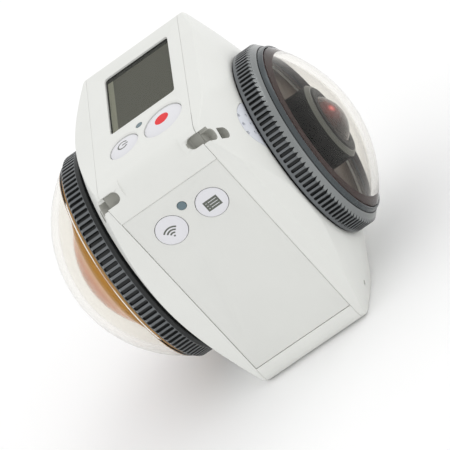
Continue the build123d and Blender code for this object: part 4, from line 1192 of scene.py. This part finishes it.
@dataclass
class Casing:
    """The white casing: two shells, the middle frame, the button panel and the speaker grille."""

    grille_pitch: float = 2.05
    grille_hole: float = 0.4
    grille_x: float = -12.5
    grille_w: float = 14.6
    grille_radius: float = 5.3
    grille_gap: float = 0.1
    grille_sheet: float = 1.2
    grille_hub: float = 0.6
    grille_depths: Point = (13.0, 22.0)
    well_hub: float = 0.55
    well_depths: Point = (12.0, 24.0)
    hub_depths: Point = (10.0, 26.0)
    mic_x: float = -18.0
    mic_w: float = -24.2
    mic_radius: float = 0.5
    mic_depths: Point = (10.0, 20.0)
    row_outset: float = 0.75

    def spot(self, x: float = 0.0, w: float = 0.0) -> Matrix:
        """A place on the front, at two distances from the lens axis."""
        return lens_seat(Side.FRONT) @ Matrix.Translation((x, w, 0))

    def shell(self, skin: ShellSkin) -> Piece:
        """Builds one shell: its form less its cavity, bore and strap loop."""
        piece = skin.form(f"{skin.word}_shell_skin", 0.0)
        cavity, loop = skin.form("cavity", skin.wall), StrapLoop(skin)
        carved(cavity, [loop.block()])
        radius = skin.collar_radius - skin.collar_wall
        bore = drum("bore", radius, 0, skin.collar_depth + 1, lens_seat(skin.side))
        carved(piece, [cavity, bore, *loop.cutters()], sharp_degrees=CASING_SHARP)
        return piece

    def front_holes(self, skin: ShellSkin) -> list[Piece]:
        """Builds the tools for the grille's well and the microphone's hole."""
        radius, place = self.grille_radius + self.grille_gap, self.spot(self.grille_x, self.grille_w)
        well = drum("grille_well", radius, *self.well_depths, place, 96)
        carved(well, [drum("hub", skin.collar_radius + self.well_hub, *self.hub_depths, self.spot())])
        place = self.spot(self.mic_x, self.mic_w)
        return [well, drum("mic_hole", self.mic_radius, *self.mic_depths, place, 32)]

    def middle(self, skins: Sequence[ShellSkin]) -> Piece:
        """Builds the middle frame, with the starts of both loops' slots cut anew."""
        piece = softened("mid_frame", 0.05)
        for loop in map(StrapLoop, skins):
            carved(piece, [loop.trimmer()])
            carved(piece, [loop.filler()], "UNION")
            carved(piece, [loop.pocket_cutter()])
        return piece

    def drills(self) -> Piece:
        """Builds the grille's field of drills with Geometry Nodes, as one mesh."""
        ring = Extent.of("front_ring").radius
        drill = prism("drill", circle(self.grille_hole, 20), 0, ring, seat((0, 0, 0), (0, -1, 0), (1, 0, 0)))
        turn = math.atan2(self.grille_w, self.grille_x)
        away = ring + self.row_outset + self.grille_pitch / 2
        values = {
            "Columns": 2,
            "Rows": 3,
            "Pitch": self.grille_pitch * MM,
            "Turn": -turn,
            "Middle": Vector((away * math.cos(turn), 0, away * math.sin(turn) + LENS_HEIGHT)) * MM,
            "Material": made(BLACK_PLASTIC),
        }
        apply_group(drill, dots_tree(), values)
        return drill

    def grille(self, skin: ShellSkin) -> Piece:
        """Builds the perforated disc that follows the shell's skin."""
        disc = skin.form("speaker_grille_skin", 0.0)
        place = self.spot(self.grille_x, self.grille_w)
        cut = drum("grille_round", self.grille_radius, *self.grille_depths, place, 96)
        carved(disc, [cut], "INTERSECT")
        inner = skin.form("grille_back", self.grille_sheet)
        hub = drum("hub", skin.collar_radius + self.grille_hub, *self.hub_depths, self.spot())
        carved(disc, [inner, hub, self.drills()])
        return disc

    def build(self) -> None:
        """Builds and dresses the casing."""
        front = ShellSkin(Side.FRONT, 2.9, 0.41, 2.05, 8.7, facet_drop=3.45)
        rear = ShellSkin(Side.REAR, 1.1, 0.418, 2.0, 8.0)
        skins = (front, rear)
        pieces = {"front_shell": self.shell(front)}
        carved(pieces["front_shell"], self.front_holes(front), sharp_degrees=CASING_SHARP)
        placed(self.grille(front), Body.CAMERA, "grille_white", GRILLE_WHITE, "speaker_grille")
        pieces |= {"rear_shell": self.shell(rear), "mid_frame": self.middle(skins)}
        loops = [StrapLoop(skin) for skin in skins]
        for node, piece in pieces.items():
            placed(piece, Body.CAMERA, "white_body", BODY_WHITE, node)
            # The faces inside the loops' slots and holes get the pocket finish: a darker grey painted as
            # shade
            paint_where(piece, POCKET_PAINTED_SHADE, lambda c, n: any(loop.in_loop(c, n) for loop in loops))
        placed(softened("side_panel", 0.08), Body.CAMERA, "white_panel", PANEL_WHITE, "side_panel")


# Covers


@dataclass
class DomeCover(LensEnd):
    """A turning cover: a knurled ring with its bezel, its clear dome and the dome's seal."""

    body: Body
    bezel_slot: str
    bezel_finish: Finish
    bead_finish: Finish
    bevel: float
    tip_share: float
    dome_rise: float
    dome_foot_depth: float
    outer_bead: float
    wall: float = 1.5
    ring_wall: float = 2.05
    ribs: int = 108
    rib_height: float = 0.5
    rib_soft: float = 0.14
    plain_rim: float = 0.7
    groove_share: float = 0.62
    point_length: float = 1.0
    trim: float = 0.0
    lip: float = 0.0
    lip_wall: float = 0.6
    bezel_step: float = 0.1
    bezel_gap: float = 0.12
    gasket_width: float = 1.5
    gasket_gap: float = 0.08
    back_chamfer: float = 0.12
    front_chamfer: float = 0.15
    bore_chamfer: float = 0.1
    land_edge: float = 0.05
    dome_gap: float = 0.3
    flange_edge: float = 0.06
    flange_height: float = 1.7
    paint_gap: float = 0.06
    ring_sharp: float = 38.0
    dome_sharp: float = 30.0
    sector_columns: int = 11

    @property
    def radius(self) -> float:
        """The ring's radius."""
        return self.box("ring").radius

    @property
    def front(self) -> float:
        """The depth of the ring's visible front."""
        return self.far("ring") - self.trim

    @property
    def foot_radius(self) -> float:
        """The radius at which the dome's outer face meets its flange."""
        if self.side is Side.FRONT:
            return self.radius - self.ring_wall - self.dome_gap
        return self.box("dome").radius - self.flange_edge

    def groove(self, across: float, depth: float, pitch: float) -> float:
        """Gives how deep the knurl is at a point of the ring.

        Args:
            across: Distance along the rim from the groove's middle, in millimetres.
            depth: The point's depth along the lens axis.
            pitch: The distance between grooves.

        Returns:
            The groove's depth below the plain cylinder.
        """
        half, point = pitch * self.groove_share / 2, self.point_length
        foot, tip = self.near("ring") + self.plain_rim, self.front - self.bevel * self.tip_share
        if not foot < depth < tip:
            return 0.0
        behind, ahead = depth - foot, tip - depth
        width = math.sqrt(max(half**2 - (half - behind) ** 2, 0)) if behind < half else half
        if ahead < point:
            width = min(width, half * ahead / point)
        level = min(max((width - abs(across)) / self.rib_soft, 0), 1)
        return self.rib_height * level * level * (3 - 2 * level) * min(2.5 * ahead / point, 1)

    def profile(self, pitch: float) -> list[tuple[float, float, bool]]:
        """Draws the ring's outline.

        Args:
            pitch: The distance between grooves.

        Returns:
            Each point's radius, its depth and whether the knurl cuts it.
        """
        radius, start, end = self.radius, self.near("ring"), self.front
        foot, chamfer, tip = start + self.plain_rim, end - self.bevel, end - self.bevel * self.tip_share
        back, fine_start = start - self.lip, tip - self.point_length
        marks = [back + self.back_chamfer, foot - self.land_edge, chamfer]
        marks += [foot + pitch * 0.26 * (1 - math.cos(a)) for a in np.linspace(0, math.pi / 2, 5)]
        marks += list(np.linspace(foot + pitch * 0.5, fine_start, 3))
        marks += list(np.linspace(fine_start + 0.1, tip, 10))
        marks = sorted(set(marks)) + [end - 0.03]
        bore, edge, small = radius - self.ring_wall, self.front_chamfer, self.bore_chamfer
        outline = [(radius - self.back_chamfer, back, False)]
        outline += [(radius - max(depth - chamfer, 0), depth, True) for depth in marks]
        outline += [(radius - self.bevel - self.land_edge, end, False), (bore + edge, end, False)]
        outline += [(bore, end - edge, False), (bore, start + small, False), (bore + small, start, False)]
        if self.lip:
            outline += [(radius - self.lip_wall, start, False), (radius - self.lip_wall, back, False)]
        return outline

    def ring(self) -> Piece:
        """Builds the knurled ring as one sector, repeated by Geometry Nodes."""
        pitch_angle, columns = 2 * math.pi / self.ribs, self.sector_columns
        pitch = self.radius * pitch_angle
        outline, points = self.profile(pitch), []
        for radius, depth, cut in outline:
            for column in range(columns):
                share = column / (columns - 1) - 0.5
                reach = radius - (self.groove(share * pitch, depth, pitch) if cut else 0.0)
                turn = share * pitch_angle
                points.append((reach * math.sin(turn), depth * self.side.value, reach * math.cos(turn)))
        faces = band_faces(len(outline), columns, True, False)
        ring = solid(f"{self.word}_ring_knurled", points, faces)
        values = {"Count": self.ribs, "Axis Height": LENS_HEIGHT * MM, "Material": made(RING_METAL)}
        apply_group(ring, wheel_tree(), values)
        reworked(ring.data, face_outwards)
        return smoothed(ring, self.ring_sharp)

    def measured(self, centre: Vector) -> tuple[float, float, float]:
        """Gives a point's depth, its radius and how far it lies inside the ring's plain outline."""
        depth, reach = centre.y * self.side.value, math.hypot(centre.x, centre.z - LENS_HEIGHT)
        return depth, reach, self.radius - max(depth - (self.front - self.bevel), 0) - reach

    def on_band(self, centre: Vector, normal: Vector) -> bool:
        """Tells whether a face of the ring is on its bright front chamfer."""
        depth, _, sunk = self.measured(centre)
        return depth > self.front - self.bevel - 0.02 and sunk < self.paint_gap

    def in_groove(self, centre: Vector, normal: Vector) -> bool:
        """Tells whether a face of the ring lies in a groove, on its front land or on its back rim, where
        shade is painted near black.
        """
        depth, reach, sunk = self.measured(centre)
        behind = depth - self.near("ring")
        land = depth > self.front - self.paint_gap and reach < self.radius - self.bevel - self.land_edge
        rim = self.lip > 0 and behind < self.plain_rim * 0.5
        inside = self.rib_height * 0.2 < sunk < self.rib_height + 0.1
        return land or rim or inside and behind > self.plain_rim

    def on_bead(self, centre: Vector, normal: Vector) -> bool:
        """Tells whether a face of the dome is glued: its flange and the foot of its wall."""
        outside = (centre - Vector((0, centre.y, LENS_HEIGHT))).dot(normal) > 0
        foot = self.outer_bead if outside else self.dome_foot_depth
        return centre.y * self.side.value < foot + 0.03

    def dome(self) -> Piece:
        """Builds the clear dome: a spherical wall with a flange."""
        flange, base, foot = self.box("dome").radius, self.near("dome"), self.foot_radius
        ball = ball_radius(foot, self.dome_rise)
        centre, inner = self.far("dome") - ball, ball - self.wall
        flange_end = min(self.dome_foot_depth, base + self.flange_height, self.front - 0.2)
        start = math.asin(min(foot / ball, 1.0))
        if self.dome_foot_depth < centre:
            start = math.pi - start
        end = math.acos(min(max((base - centre) / inner, -1), 1))
        profile = ball_profile(ball, centre, start, 0, 40) + ball_profile(inner, centre, 0, end, 40)
        profile += [(flange, base), (flange, flange_end), (foot, flange_end)]
        dome = turned(f"{self.word}_dome_clear", profile, lens_seat(self.side), 192)
        return smoothed(dome, self.dome_sharp)

    def soft_ring(self, part: str, inner: float, soft: float, trim: float = 0.0, lip: float = 0.0) -> Piece:
        """Builds a plain ring with soft edges in a CAD ring's place.

        Args:
            part: The part it stands for.
            inner: Its bore.
            soft: The rounding of its edges.
            trim: How far it sits behind the CAD ring.
            lip: The reach of the cover ring's lip, inside which it stays.

        Returns:
            The ring.
        """
        outer, start, end = self.box(part).radius, self.near(part) - trim, self.far(part)
        if lip:
            outer = min(outer, self.radius - self.lip_wall - self.gasket_gap)
        if trim:
            outer = min(outer, self.radius - self.bevel - 0.2)
            end -= self.bezel_step
        corners = [(inner, start, soft), (outer, start, soft), (outer - trim * 0.5, end, soft)]
        return self.lathed(part, [*corners, (inner, end, soft)])

    def build(self) -> None:
        """Builds and dresses the cover."""
        word = self.word
        ring = placed(self.ring(), self.body, "ring_grey", RING_METAL, f"{word}_ring")
        paint_where(ring, BAND_METAL, self.on_band)
        # Shade is painted near black into the grooves, on the front land and on the back rim
        paint_where(ring, GROOVE_PAINTED_SHADE, self.in_groove)
        dome = placed(self.dome(), self.body, "dome_clear", DOME_CLEAR, f"{word}_dome")
        paint_where(dome, self.bead_finish, self.on_bead)
        inner = self.foot_radius if self.side is Side.FRONT else self.box("dome").radius
        bezel = self.soft_ring("bezel", inner + self.bezel_gap, 0.15, self.trim)
        placed(bezel, self.body, self.bezel_slot, self.bezel_finish, f"{word}_bezel")
        dress(RUBBER, f"{word}_seal")
        inner = self.box("gasket").radius - self.gasket_width
        gasket = self.soft_ring("gasket", inner, 0.12, lip=self.lip)
        placed(gasket, Body.CAMERA, "rubber_black", RUBBER, f"{word}_gasket")


# Lens towers


@dataclass
class LensTower(LensEnd):
    """What stands under a dome: the dished baffle, the barrel and the domed front element."""

    dish_finish: Finish
    barrel_finish: Finish
    glass_finish: Finish
    rim_finish: Finish
    dish_slot: str
    barrel_slot: str
    lens_slot: str
    dish_drop: float
    barrel_bevel: float = 0.7
    lens_bulge: float = 2.4
    dish_lip: float = 0.9
    slim_radius: float = 8.3
    dish_gap: float = 0.12
    element_gap: float = 0.06
    foot_height: float = 2.5
    foot_inset: float = 0.5

    @property
    def barrel_radius(self) -> float:
        """The barrel's radius where it shows."""
        return self.slim_radius if self.side is Side.FRONT else self.box("barrel").radius

    def dish(self) -> Piece:
        """Builds the baffle: a rim, a fall and a sloping floor round the barrel."""
        bore, rim = self.barrel_radius + self.dish_gap, self.box("baffle").radius
        base, top = self.near("baffle"), self.far("baffle")
        floor, ledge = top - self.dish_drop, rim - self.dish_lip
        corners = [(bore, base, 0), (rim, base, 0), (rim, top, 0.12), (ledge, top, 0.12)]
        corners += [(ledge - 0.35, floor, 0.3), (bore, min(floor + 0.1, self.far("barrel")), 0.1)]
        return self.lathed("baffle", corners)

    def barrel(self) -> Piece:
        """Builds the barrel with its bevel and its seat for the element."""
        r, base, top = self.barrel_radius, self.near("barrel"), self.far("barrel")
        bore, floor, bevel = self.box("lens").radius + self.element_gap, self.near("lens"), self.barrel_bevel
        corners = [(0, base, 0), (r - self.foot_inset, base, 0), (r, base + self.foot_height, 0.2)]
        corners += [(r, top - bevel, 0.12), (r - bevel, top, 0.1), (bore, top, 0.06)]
        corners += [(bore, floor, 0), (0, floor, 0)]
        return self.lathed("barrel", corners, 160)

    def element(self) -> Piece:
        """Builds the domed front element."""
        r, base = self.box("lens").radius, self.near("lens")
        ball = ball_radius(r, self.lens_bulge)
        profile = ball_profile(ball, self.far("lens") - ball, 0, math.asin(min(r / ball, 1)), 32)
        profile += [(r, base), (0, base)]
        return turned(f"{self.word}_lens_element", profile, lens_seat(self.side))

    def build(self) -> None:
        """Builds and dresses the tower."""
        word, lip = self.word, self.far("barrel") - self.barrel_bevel - 0.02
        placed(self.dish(), Body.CAMERA, self.dish_slot, self.dish_finish, f"{word}_baffle")
        barrel = placed(self.barrel(), Body.CAMERA, self.barrel_slot, self.barrel_finish, f"{word}_barrel")
        # The barrel's top bevel gets the rim finish; on the front it is a lighter grey green painted as
        # light on the bevel
        paint_where(barrel, self.rim_finish, lambda centre, _: centre.y * self.side.value > lip)
        placed(self.element(), Body.CAMERA, self.lens_slot, self.glass_finish, f"{word}_lens")


# Top and side controls

SIGN_ROOM = 0.04
KEY_RISE = Extent.of("record_button").high.z - BODY_HEIGHT - SIGN_ROOM
SIGN_RISE = 0.015


def top_seat(middle: Vector) -> Matrix:
    """A place on the top face over a point, with the drawing along X and Y."""
    return seat((middle.x, middle.y, BODY_HEIGHT), (0, 0, 1), (1, 0, 0))


def panel_seat(middle: Vector) -> Matrix:
    """A place on the button panel's face beside a point, with the drawing along -Y and up."""
    return seat((-HALF_WIDTH, middle.y, middle.z), (-1, 0, 0), (0, -1, 0))


def strip_outline(line: Sequence[Point], width: float) -> tuple[list[Point], list[tuple[int, ...]]]:
    """Widens a line into a flat strip with blunt ends.

    Args:
        line: The line's points.
        width: The strip's width.

    Returns:
        The strip's points and faces.
    """
    points: list[Point] = []
    for index, (x, y) in enumerate(line):
        ahead, back = line[min(index + 1, len(line) - 1)], line[max(index - 1, 0)]
        along = Vector((ahead[0] - back[0], ahead[1] - back[1])).normalized()
        points.append((x - along.y * width / 2, y + along.x * width / 2))
        points.append((x + along.y * width / 2, y - along.x * width / 2))
    faces = [(2 * i, 2 * i + 1, 2 * i + 3, 2 * i + 2) for i in range(len(line) - 1)]
    return points, faces


def arc_line(radius: float, start: float, end: float, x: float = 0.0, y: float = 0.0) -> list[Point]:
    """Draws part of a circle, between two angles in degrees."""
    turns = [math.radians(a) for a in np.linspace(start, end, 28)]
    return [(x + radius * math.cos(a), y + radius * math.sin(a)) for a in turns]


@dataclass
class PressKey:
    """A round key in its dish, with its printed or inlaid mark."""

    node: str
    body: Body
    face: Callable[[Vector], Matrix]
    radius: float
    sink: float
    edge_power: float
    depth: float = 1.7
    mark_depth: float = 0.1
    sharp_degrees: float = 50.0

    @property
    def place(self) -> Matrix:
        """The key's seat on the casing's face."""
        return self.face(Extent.of(self.node).middle)

    def level(self, radius: float) -> float:
        """Gives the height of the crowned face at a distance from its middle."""
        return KEY_RISE - (KEY_RISE + self.sink) * (radius / self.radius) ** self.edge_power

    def cap(self) -> Piece:
        """Builds the key: a crowned face that falls below the casing at its rim."""
        profile = [(self.radius * t, self.level(self.radius * t)) for t in np.linspace(0, 1, 18)]
        profile += [(self.radius, -self.depth), (0, -self.depth)]
        return smoothed(turned(f"{self.node}_cap", profile, self.place, 96), self.sharp_degrees)

    def mark(
        self, name: str, outline: Sequence[Point], faces: Sequence[Sequence[int]], rise: float
    ) -> Piece:
        """Lays a thin printed mark on the key.

        Args:
            name: The mark's name.
            outline: Its points on the key's face.
            faces: Its flat faces.
            rise: How far it stands above the face, in millimetres.

        Returns:
            The mark, with a little thickness.
        """
        count, place = len(outline), self.place
        points = [place @ Vector((x, y, self.level(math.hypot(x, y)) + rise)) for x, y in outline]
        points += [place @ Vector((x, y, -self.mark_depth)) for x, y in outline]
        edges = {(first, face[(i + 1) % len(face)]): 1 for face in faces for i, first in enumerate(face)}
        sides = [(a, b, b + count, a + count) for a, b in edges if (b, a) not in edges]
        under = [[i + count for i in reversed(face)] for face in faces]
        return solid(name, points, [*faces, *under, *sides])

    def sign(
        self,
        name: str,
        lines: Iterable[Sequence[Point]],
        width: float,
        finish: Finish,
        rise: float = SIGN_RISE,
    ) -> None:
        """Lays the strokes of a printed sign on the key.

        Args:
            name: The sign's name.
            lines: The strokes' middle lines.
            width: The stroke's width.
            finish: Its finish.
            rise: How far the strokes stand above the face.
        """
        for index, line in enumerate(lines):
            stroke = self.mark(f"{name}_{index}", *strip_outline(line, width), rise)
            placed(stroke, self.body, "ring_grey", finish)


@dataclass
class Controls:
    """The keys, the display and the light pipes of the top face and the side panel."""

    film_depth: float = 0.45
    film_ledge: float = 0.12
    painted_lit_width: float = 1.3
    film_shade: float = 1.2
    sign_length: float = 3.19
    sign_height: float = 2.36
    sign_drop: float = 0.15
    dot_radius: float = 1.6
    dot_depth: float = 0.3
    dot_rise: float = 0.02
    arch_radius: float = 1.1
    arch_gap: float = 34.0
    arch_width: float = 0.3
    row_width: float = 0.12
    wave_width: float = 0.34

    def record_key(self, key: PressKey) -> None:
        """Inlays the red dot."""
        r, rise, base = self.dot_radius, self.dot_rise, -self.dot_depth
        profile = [(0, key.level(0) + rise), (r, key.level(r) + rise), (r, base), (0, base)]
        dot = turned("record_dot_inlay", profile, key.place, 64)
        placed(dot, key.body, "record_red", RECORD_RED, "record_dot")

    def power_key(self, key: PressKey) -> None:
        """Prints the power sign: an open circle and a bar in its gap."""
        arch = arc_line(self.arch_radius, self.arch_gap - 90, 270 - self.arch_gap)
        bar = [(0.0, 0.1), (0.0, -0.5), (0.0, -1.2)]
        key.sign("power_sign", [arch, bar], self.arch_width, PRINT_GREY)

    def menu_key(self, key: PressKey) -> None:
        """Prints the list sign: a dark plate with three rows of a dot and a line."""
        x, y = self.sign_length / 2, self.sign_height / 2
        steps = np.linspace(-x, x, 9)
        outline = [(px, py - self.sign_drop) for px in steps for py in (-y, y)]
        faces = [(2 * i, 2 * i + 2, 2 * i + 3, 2 * i + 1) for i in range(len(steps) - 1)]
        placed(key.mark("list_plate", outline, faces, SIGN_RISE), key.body, "ring_grey", PRINT_GREY)
        for row in (-1, 0, 1):
            level = row * self.sign_height * 0.27 - self.sign_drop
            line = [(px, level) for px in np.linspace(-x * 0.4, x * 0.76, 5)]
            dot = [(-x * 0.76, level), (-x * 0.6, level)]
            key.sign(f"list_row_{row + 1}", [line, dot], self.row_width, BUTTON_GREY, 2 * SIGN_RISE)

    def wireless_key(self, key: PressKey) -> None:
        """Prints the wave sign: three arcs over a dot."""
        x, y = -0.2, -1.26
        arcs = [arc_line(r, 46, 136, x, y) for r in (0.75, 1.41, 2.08)]
        half = self.wave_width / 2
        key.sign("wave_sign", [*arcs, [(x - half, y), (x + half, y)]], self.wave_width, PRINT_GREY)

    def display(self) -> None:
        """Builds the display under its clear window."""
        box, ledge = Extent.of("lcd_window"), 2 * self.film_ledge
        place = seat((box.middle.x, box.middle.y, 0), (0, 0, 1), (1, 0, 0))
        pane = rounded_rectangle(box.size.x, box.size.y, 0.8)
        slim = rounded_rectangle(box.size.x - 0.2, box.size.y - 0.2, 0.7)
        top, base = box.high.z, box.low.z
        window = lofted("lcd_pane", [(pane, base), (pane, top - 0.1), (slim, top)], place)
        placed(window, Body.CAMERA, "window_glass", WINDOW_CLEAR, "lcd_window")
        # The pane's sides are painted dark: a black printed edge, and painted shade for the recess wall seen
        # through the pane
        paint_where(window, DISPLAY_BLACK_AND_SHADE, lambda _, normal: abs(normal.z) < 0.3)
        dress(DISPLAY_BLACK_AND_SHADE, "lcd_module")
        length, width = box.size.x - ledge, box.size.y - ledge
        strip, shade, face = self.painted_lit_width, self.film_shade, top - self.film_depth
        film = rounded_rectangle(length, width, 0.7, 6)
        band = rounded_rectangle(length - 0.3, strip, 0.1, 2)
        dark = rounded_rectangle(shade, width - 0.2, 0.1, 2)
        # Under the window lie the olive film, a light strip painted as the recess's lit wall and a dark band
        # painted as its shaded wall
        layers = (
            ("display_film", DISPLAY_OLIVE, film, (0, 0), (-0.04, 0)),
            ("display_painted_lit_wall", DISPLAY_PAINTED_LIGHT, band, (-0.1, (width - strip) / 2 - 0.1), (-0.02, 0.02)),
            ("display_shade", DISPLAY_BLACK_AND_SHADE, dark, ((length - shade) / 2, 0), (-0.02, 0.04)),
        )
        for name, finish, outline, spot, (low, high) in layers:
            there = place @ Matrix.Translation((*spot, 0))
            placed(prism(name, outline, face + low, face + high, there), Body.CAMERA, "display", finish)

    def build(self) -> None:
        """Builds and dresses the controls."""
        keys = (
            (PressKey("record_button", Body.RECORD, top_seat, 4.45, 0.45, 3.0), self.record_key),
            (PressKey("power_button", Body.POWER, top_seat, 3.3, 0.4, 3.0), self.power_key),
            (PressKey("menu_button", Body.MENU, panel_seat, 3.19, -0.02, 14.0), self.menu_key),
            (PressKey("wifi_button", Body.WIRELESS, panel_seat, 3.19, -0.02, 14.0), self.wireless_key),
        )
        for key, _ in keys:
            placed(key.cap(), key.body, "button_grey", BUTTON_GREY, key.node)
        for key, add_sign in keys:
            add_sign(key)
        self.display()
        dress(LIGHT_PIPE, "top_light_pipe", "side_light_pipe")
        dress(BOARD_GREEN, "top_board", "side_board")
        dress(STEEL, "top_switches", "side_switches")


@dataclass
class BatteryDoor:
    """The door over the battery bay, with its gasket, its lock slider and its hinge pin."""

    rounding: float = 0.15
    lock_rounding: float = 0.08

    def build(self) -> None:
        """Builds and dresses the door."""
        placed(softened("side_door", self.rounding), Body.DOOR, "white_body", BODY_WHITE, "side_door")
        placed(softened("door_lock", self.lock_rounding), Body.LOCK, "white_panel", PANEL_WHITE, "door_lock")
        dress(RUBBER, "door_gasket")
        dress(STEEL, "door_hinge_pin")


class Inside:
    """The parts in the casing, which show when the battery door is open."""

    def build(self) -> None:
        """Dresses the CAD nodes that stay."""
        dress(CELL_GREY, "battery")
        dress(BRASS, "battery_contacts", "tripod_insert")
        dress(BLACK_PLASTIC, "battery_tray", "speaker")
        dress(STEEL, "card_socket", "carrier_screws", "hdmi_port", "usb_port", "microphone")
        dress(DIE_CAST, "front_carrier", "rear_carrier")
        dress(CHIP_BLACK, "front_sensor", "rear_sensor", "memory_card")
        dress(BOARD_GREEN, "main_board")
        dress(COIL_COPPER, "nfc_coil", "wifi_antenna")
        dress(TOWER_BLACK, "front_lens_ring")


@dataclass
class Studio:
    """The pale floor, the soft white light and the camera at the photograph's view."""

    place: tuple[float, float, float] = (-0.6909, -0.20463, 0.38549)
    right: tuple[float, float, float] = (-0.0783, -0.7935, -0.6035)
    up: tuple[float, float, float] = (0.5126, -0.5512, 0.6583)
    back: tuple[float, float, float] = (-0.855, -0.2579, 0.4499)
    lens: float = 326.1
    sensor: float = 36.0
    floor_reach: float = 3.0
    floor_drop: float = 0.00005
    lamp_distance: float = 0.9
    lamp_aim: float = 0.027

    def camera(self) -> None:
        """Sets the camera."""
        data = bpy.data.cameras.new("view")
        data.lens, data.sensor_width = self.lens, self.sensor
        data.clip_start, data.clip_end = 0.01, 20.0
        eye = linked("view", data)
        turn = Matrix((self.right, self.up, self.back)).transposed().to_4x4()
        turn.translation = Vector(self.place)
        eye.matrix_world = turn
        bpy.context.scene.camera = eye

    def floor(self) -> None:
        """Lays the floor just under the casing's base."""
        reach, low = self.floor_reach, -self.floor_drop
        mesh = bpy.data.meshes.new("floor")
        corners = [(x, y, low) for x, y in rectangle(-reach, -reach, reach, reach)]
        mesh.from_pydata(corners, [], [(0, 1, 2, 3)])
        look = {"grain_mm": 2.0, "cloud_mm": 200.0, "cloud_depth": 0.01}
        mesh.materials.append(made(Finish("Matt white studio paper", "#FCFCFC", 0.8, **look)))
        plane = linked("floor", mesh)

    def lamp(self, name: str, towards: Sequence[float], size: float, power: float) -> None:
        """Hangs one soft lamp that looks at the camera body.

        Args:
            name: The lamp's name.
            towards: The direction from the body to the lamp.
            size: The side of its square face, in metres.
            power: Its power in watts.
        """
        data = bpy.data.lights.new(name, "AREA")
        data.shape, data.size, data.energy = "SQUARE", size, power
        lamp = linked(name, data)
        direction = Vector(towards).normalized()
        lamp.location = direction * self.lamp_distance + Vector((0, 0, self.lamp_aim))
        lamp.rotation_mode = "QUATERNION"
        lamp.rotation_quaternion = direction.to_track_quat("Z", "Y")

    def sky(self) -> None:
        """Fills the room with even white light."""
        world = bpy.data.worlds.new("studio")
        bpy.context.scene.world = world
        world.use_nodes = True
        world.node_tree.nodes.clear()
        values = {"Color": (1, 1, 1, 1), "Strength": 1.0}
        glow = wired(world.node_tree, "ShaderNodeBackground", "Background", values)
        add_node(world.node_tree, "ShaderNodeOutputWorld", {"Surface": glow})

    def build(self) -> None:
        """Builds the studio."""
        self.camera()
        self.floor()
        self.sky()
        self.lamp("key", (0.45, -0.6, 0.75), 0.5, 0.9)
        self.lamp("fill", (-0.8, 0.3, 0.5), 0.7, 0.2)
        bpy.context.scene.view_settings.view_transform = "Standard"


FRONT_COVER = DomeCover(
    Side.FRONT,
    Body.FRONT_COVER,
    bezel_slot="black_plastic",
    bezel_finish=BEZEL_GREY,
    bead_finish=BEAD_MAROON,
    bevel=1.3,
    tip_share=0.55,
    trim=0.75,
    dome_rise=7.01,
    dome_foot_depth=24.5,
    outer_bead=24.5,
)
REAR_COVER = DomeCover(
    Side.REAR,
    Body.REAR_COVER,
    bezel_slot="part_metal",
    bezel_finish=RING_METAL,
    bead_finish=BEAD_AMBER,
    bevel=0.3,
    tip_share=0.1,
    point_length=0.12,
    plain_rim=0.15,
    lip=0.8,
    ring_wall=2.0,
    dome_rise=13.2,
    dome_foot_depth=22.79,
    outer_bead=22.05,
)
FRONT_TOWER = LensTower(
    Side.FRONT,
    dish_finish=DISH_BROWN,
    barrel_finish=TOWER_BLACK,
    glass_finish=LENS_RED_AND_GLINT,
    rim_finish=BEVEL_PAINTED_LIGHT,
    dish_slot="baffle_brown",
    barrel_slot="tower_black",
    lens_slot="lens_glass",
    dish_drop=1.1,
)
REAR_TOWER = LensTower(
    Side.REAR,
    dish_finish=BLACK_PLASTIC,
    barrel_finish=GOLD_TOWER,
    glass_finish=LENS_PINK,
    rim_finish=GOLD_TOWER,
    dish_slot="black_plastic",
    barrel_slot="tower_gold",
    lens_slot="rear_lens_glass",
    dish_drop=1.4,
    lens_bulge=6.2,
)


def main() -> None:
    """Builds the camera round its frame."""
    logging.basicConfig(level=logging.INFO, format="%(message)s")
    parts = (Casing(), FRONT_COVER, REAR_COVER, FRONT_TOWER, REAR_TOWER)
    for part in (*parts, Controls(), BatteryDoor(), Inside(), Studio()):
        part.build()
    LOG.info("boxes written")


if __name__ == "__main__":
    main()
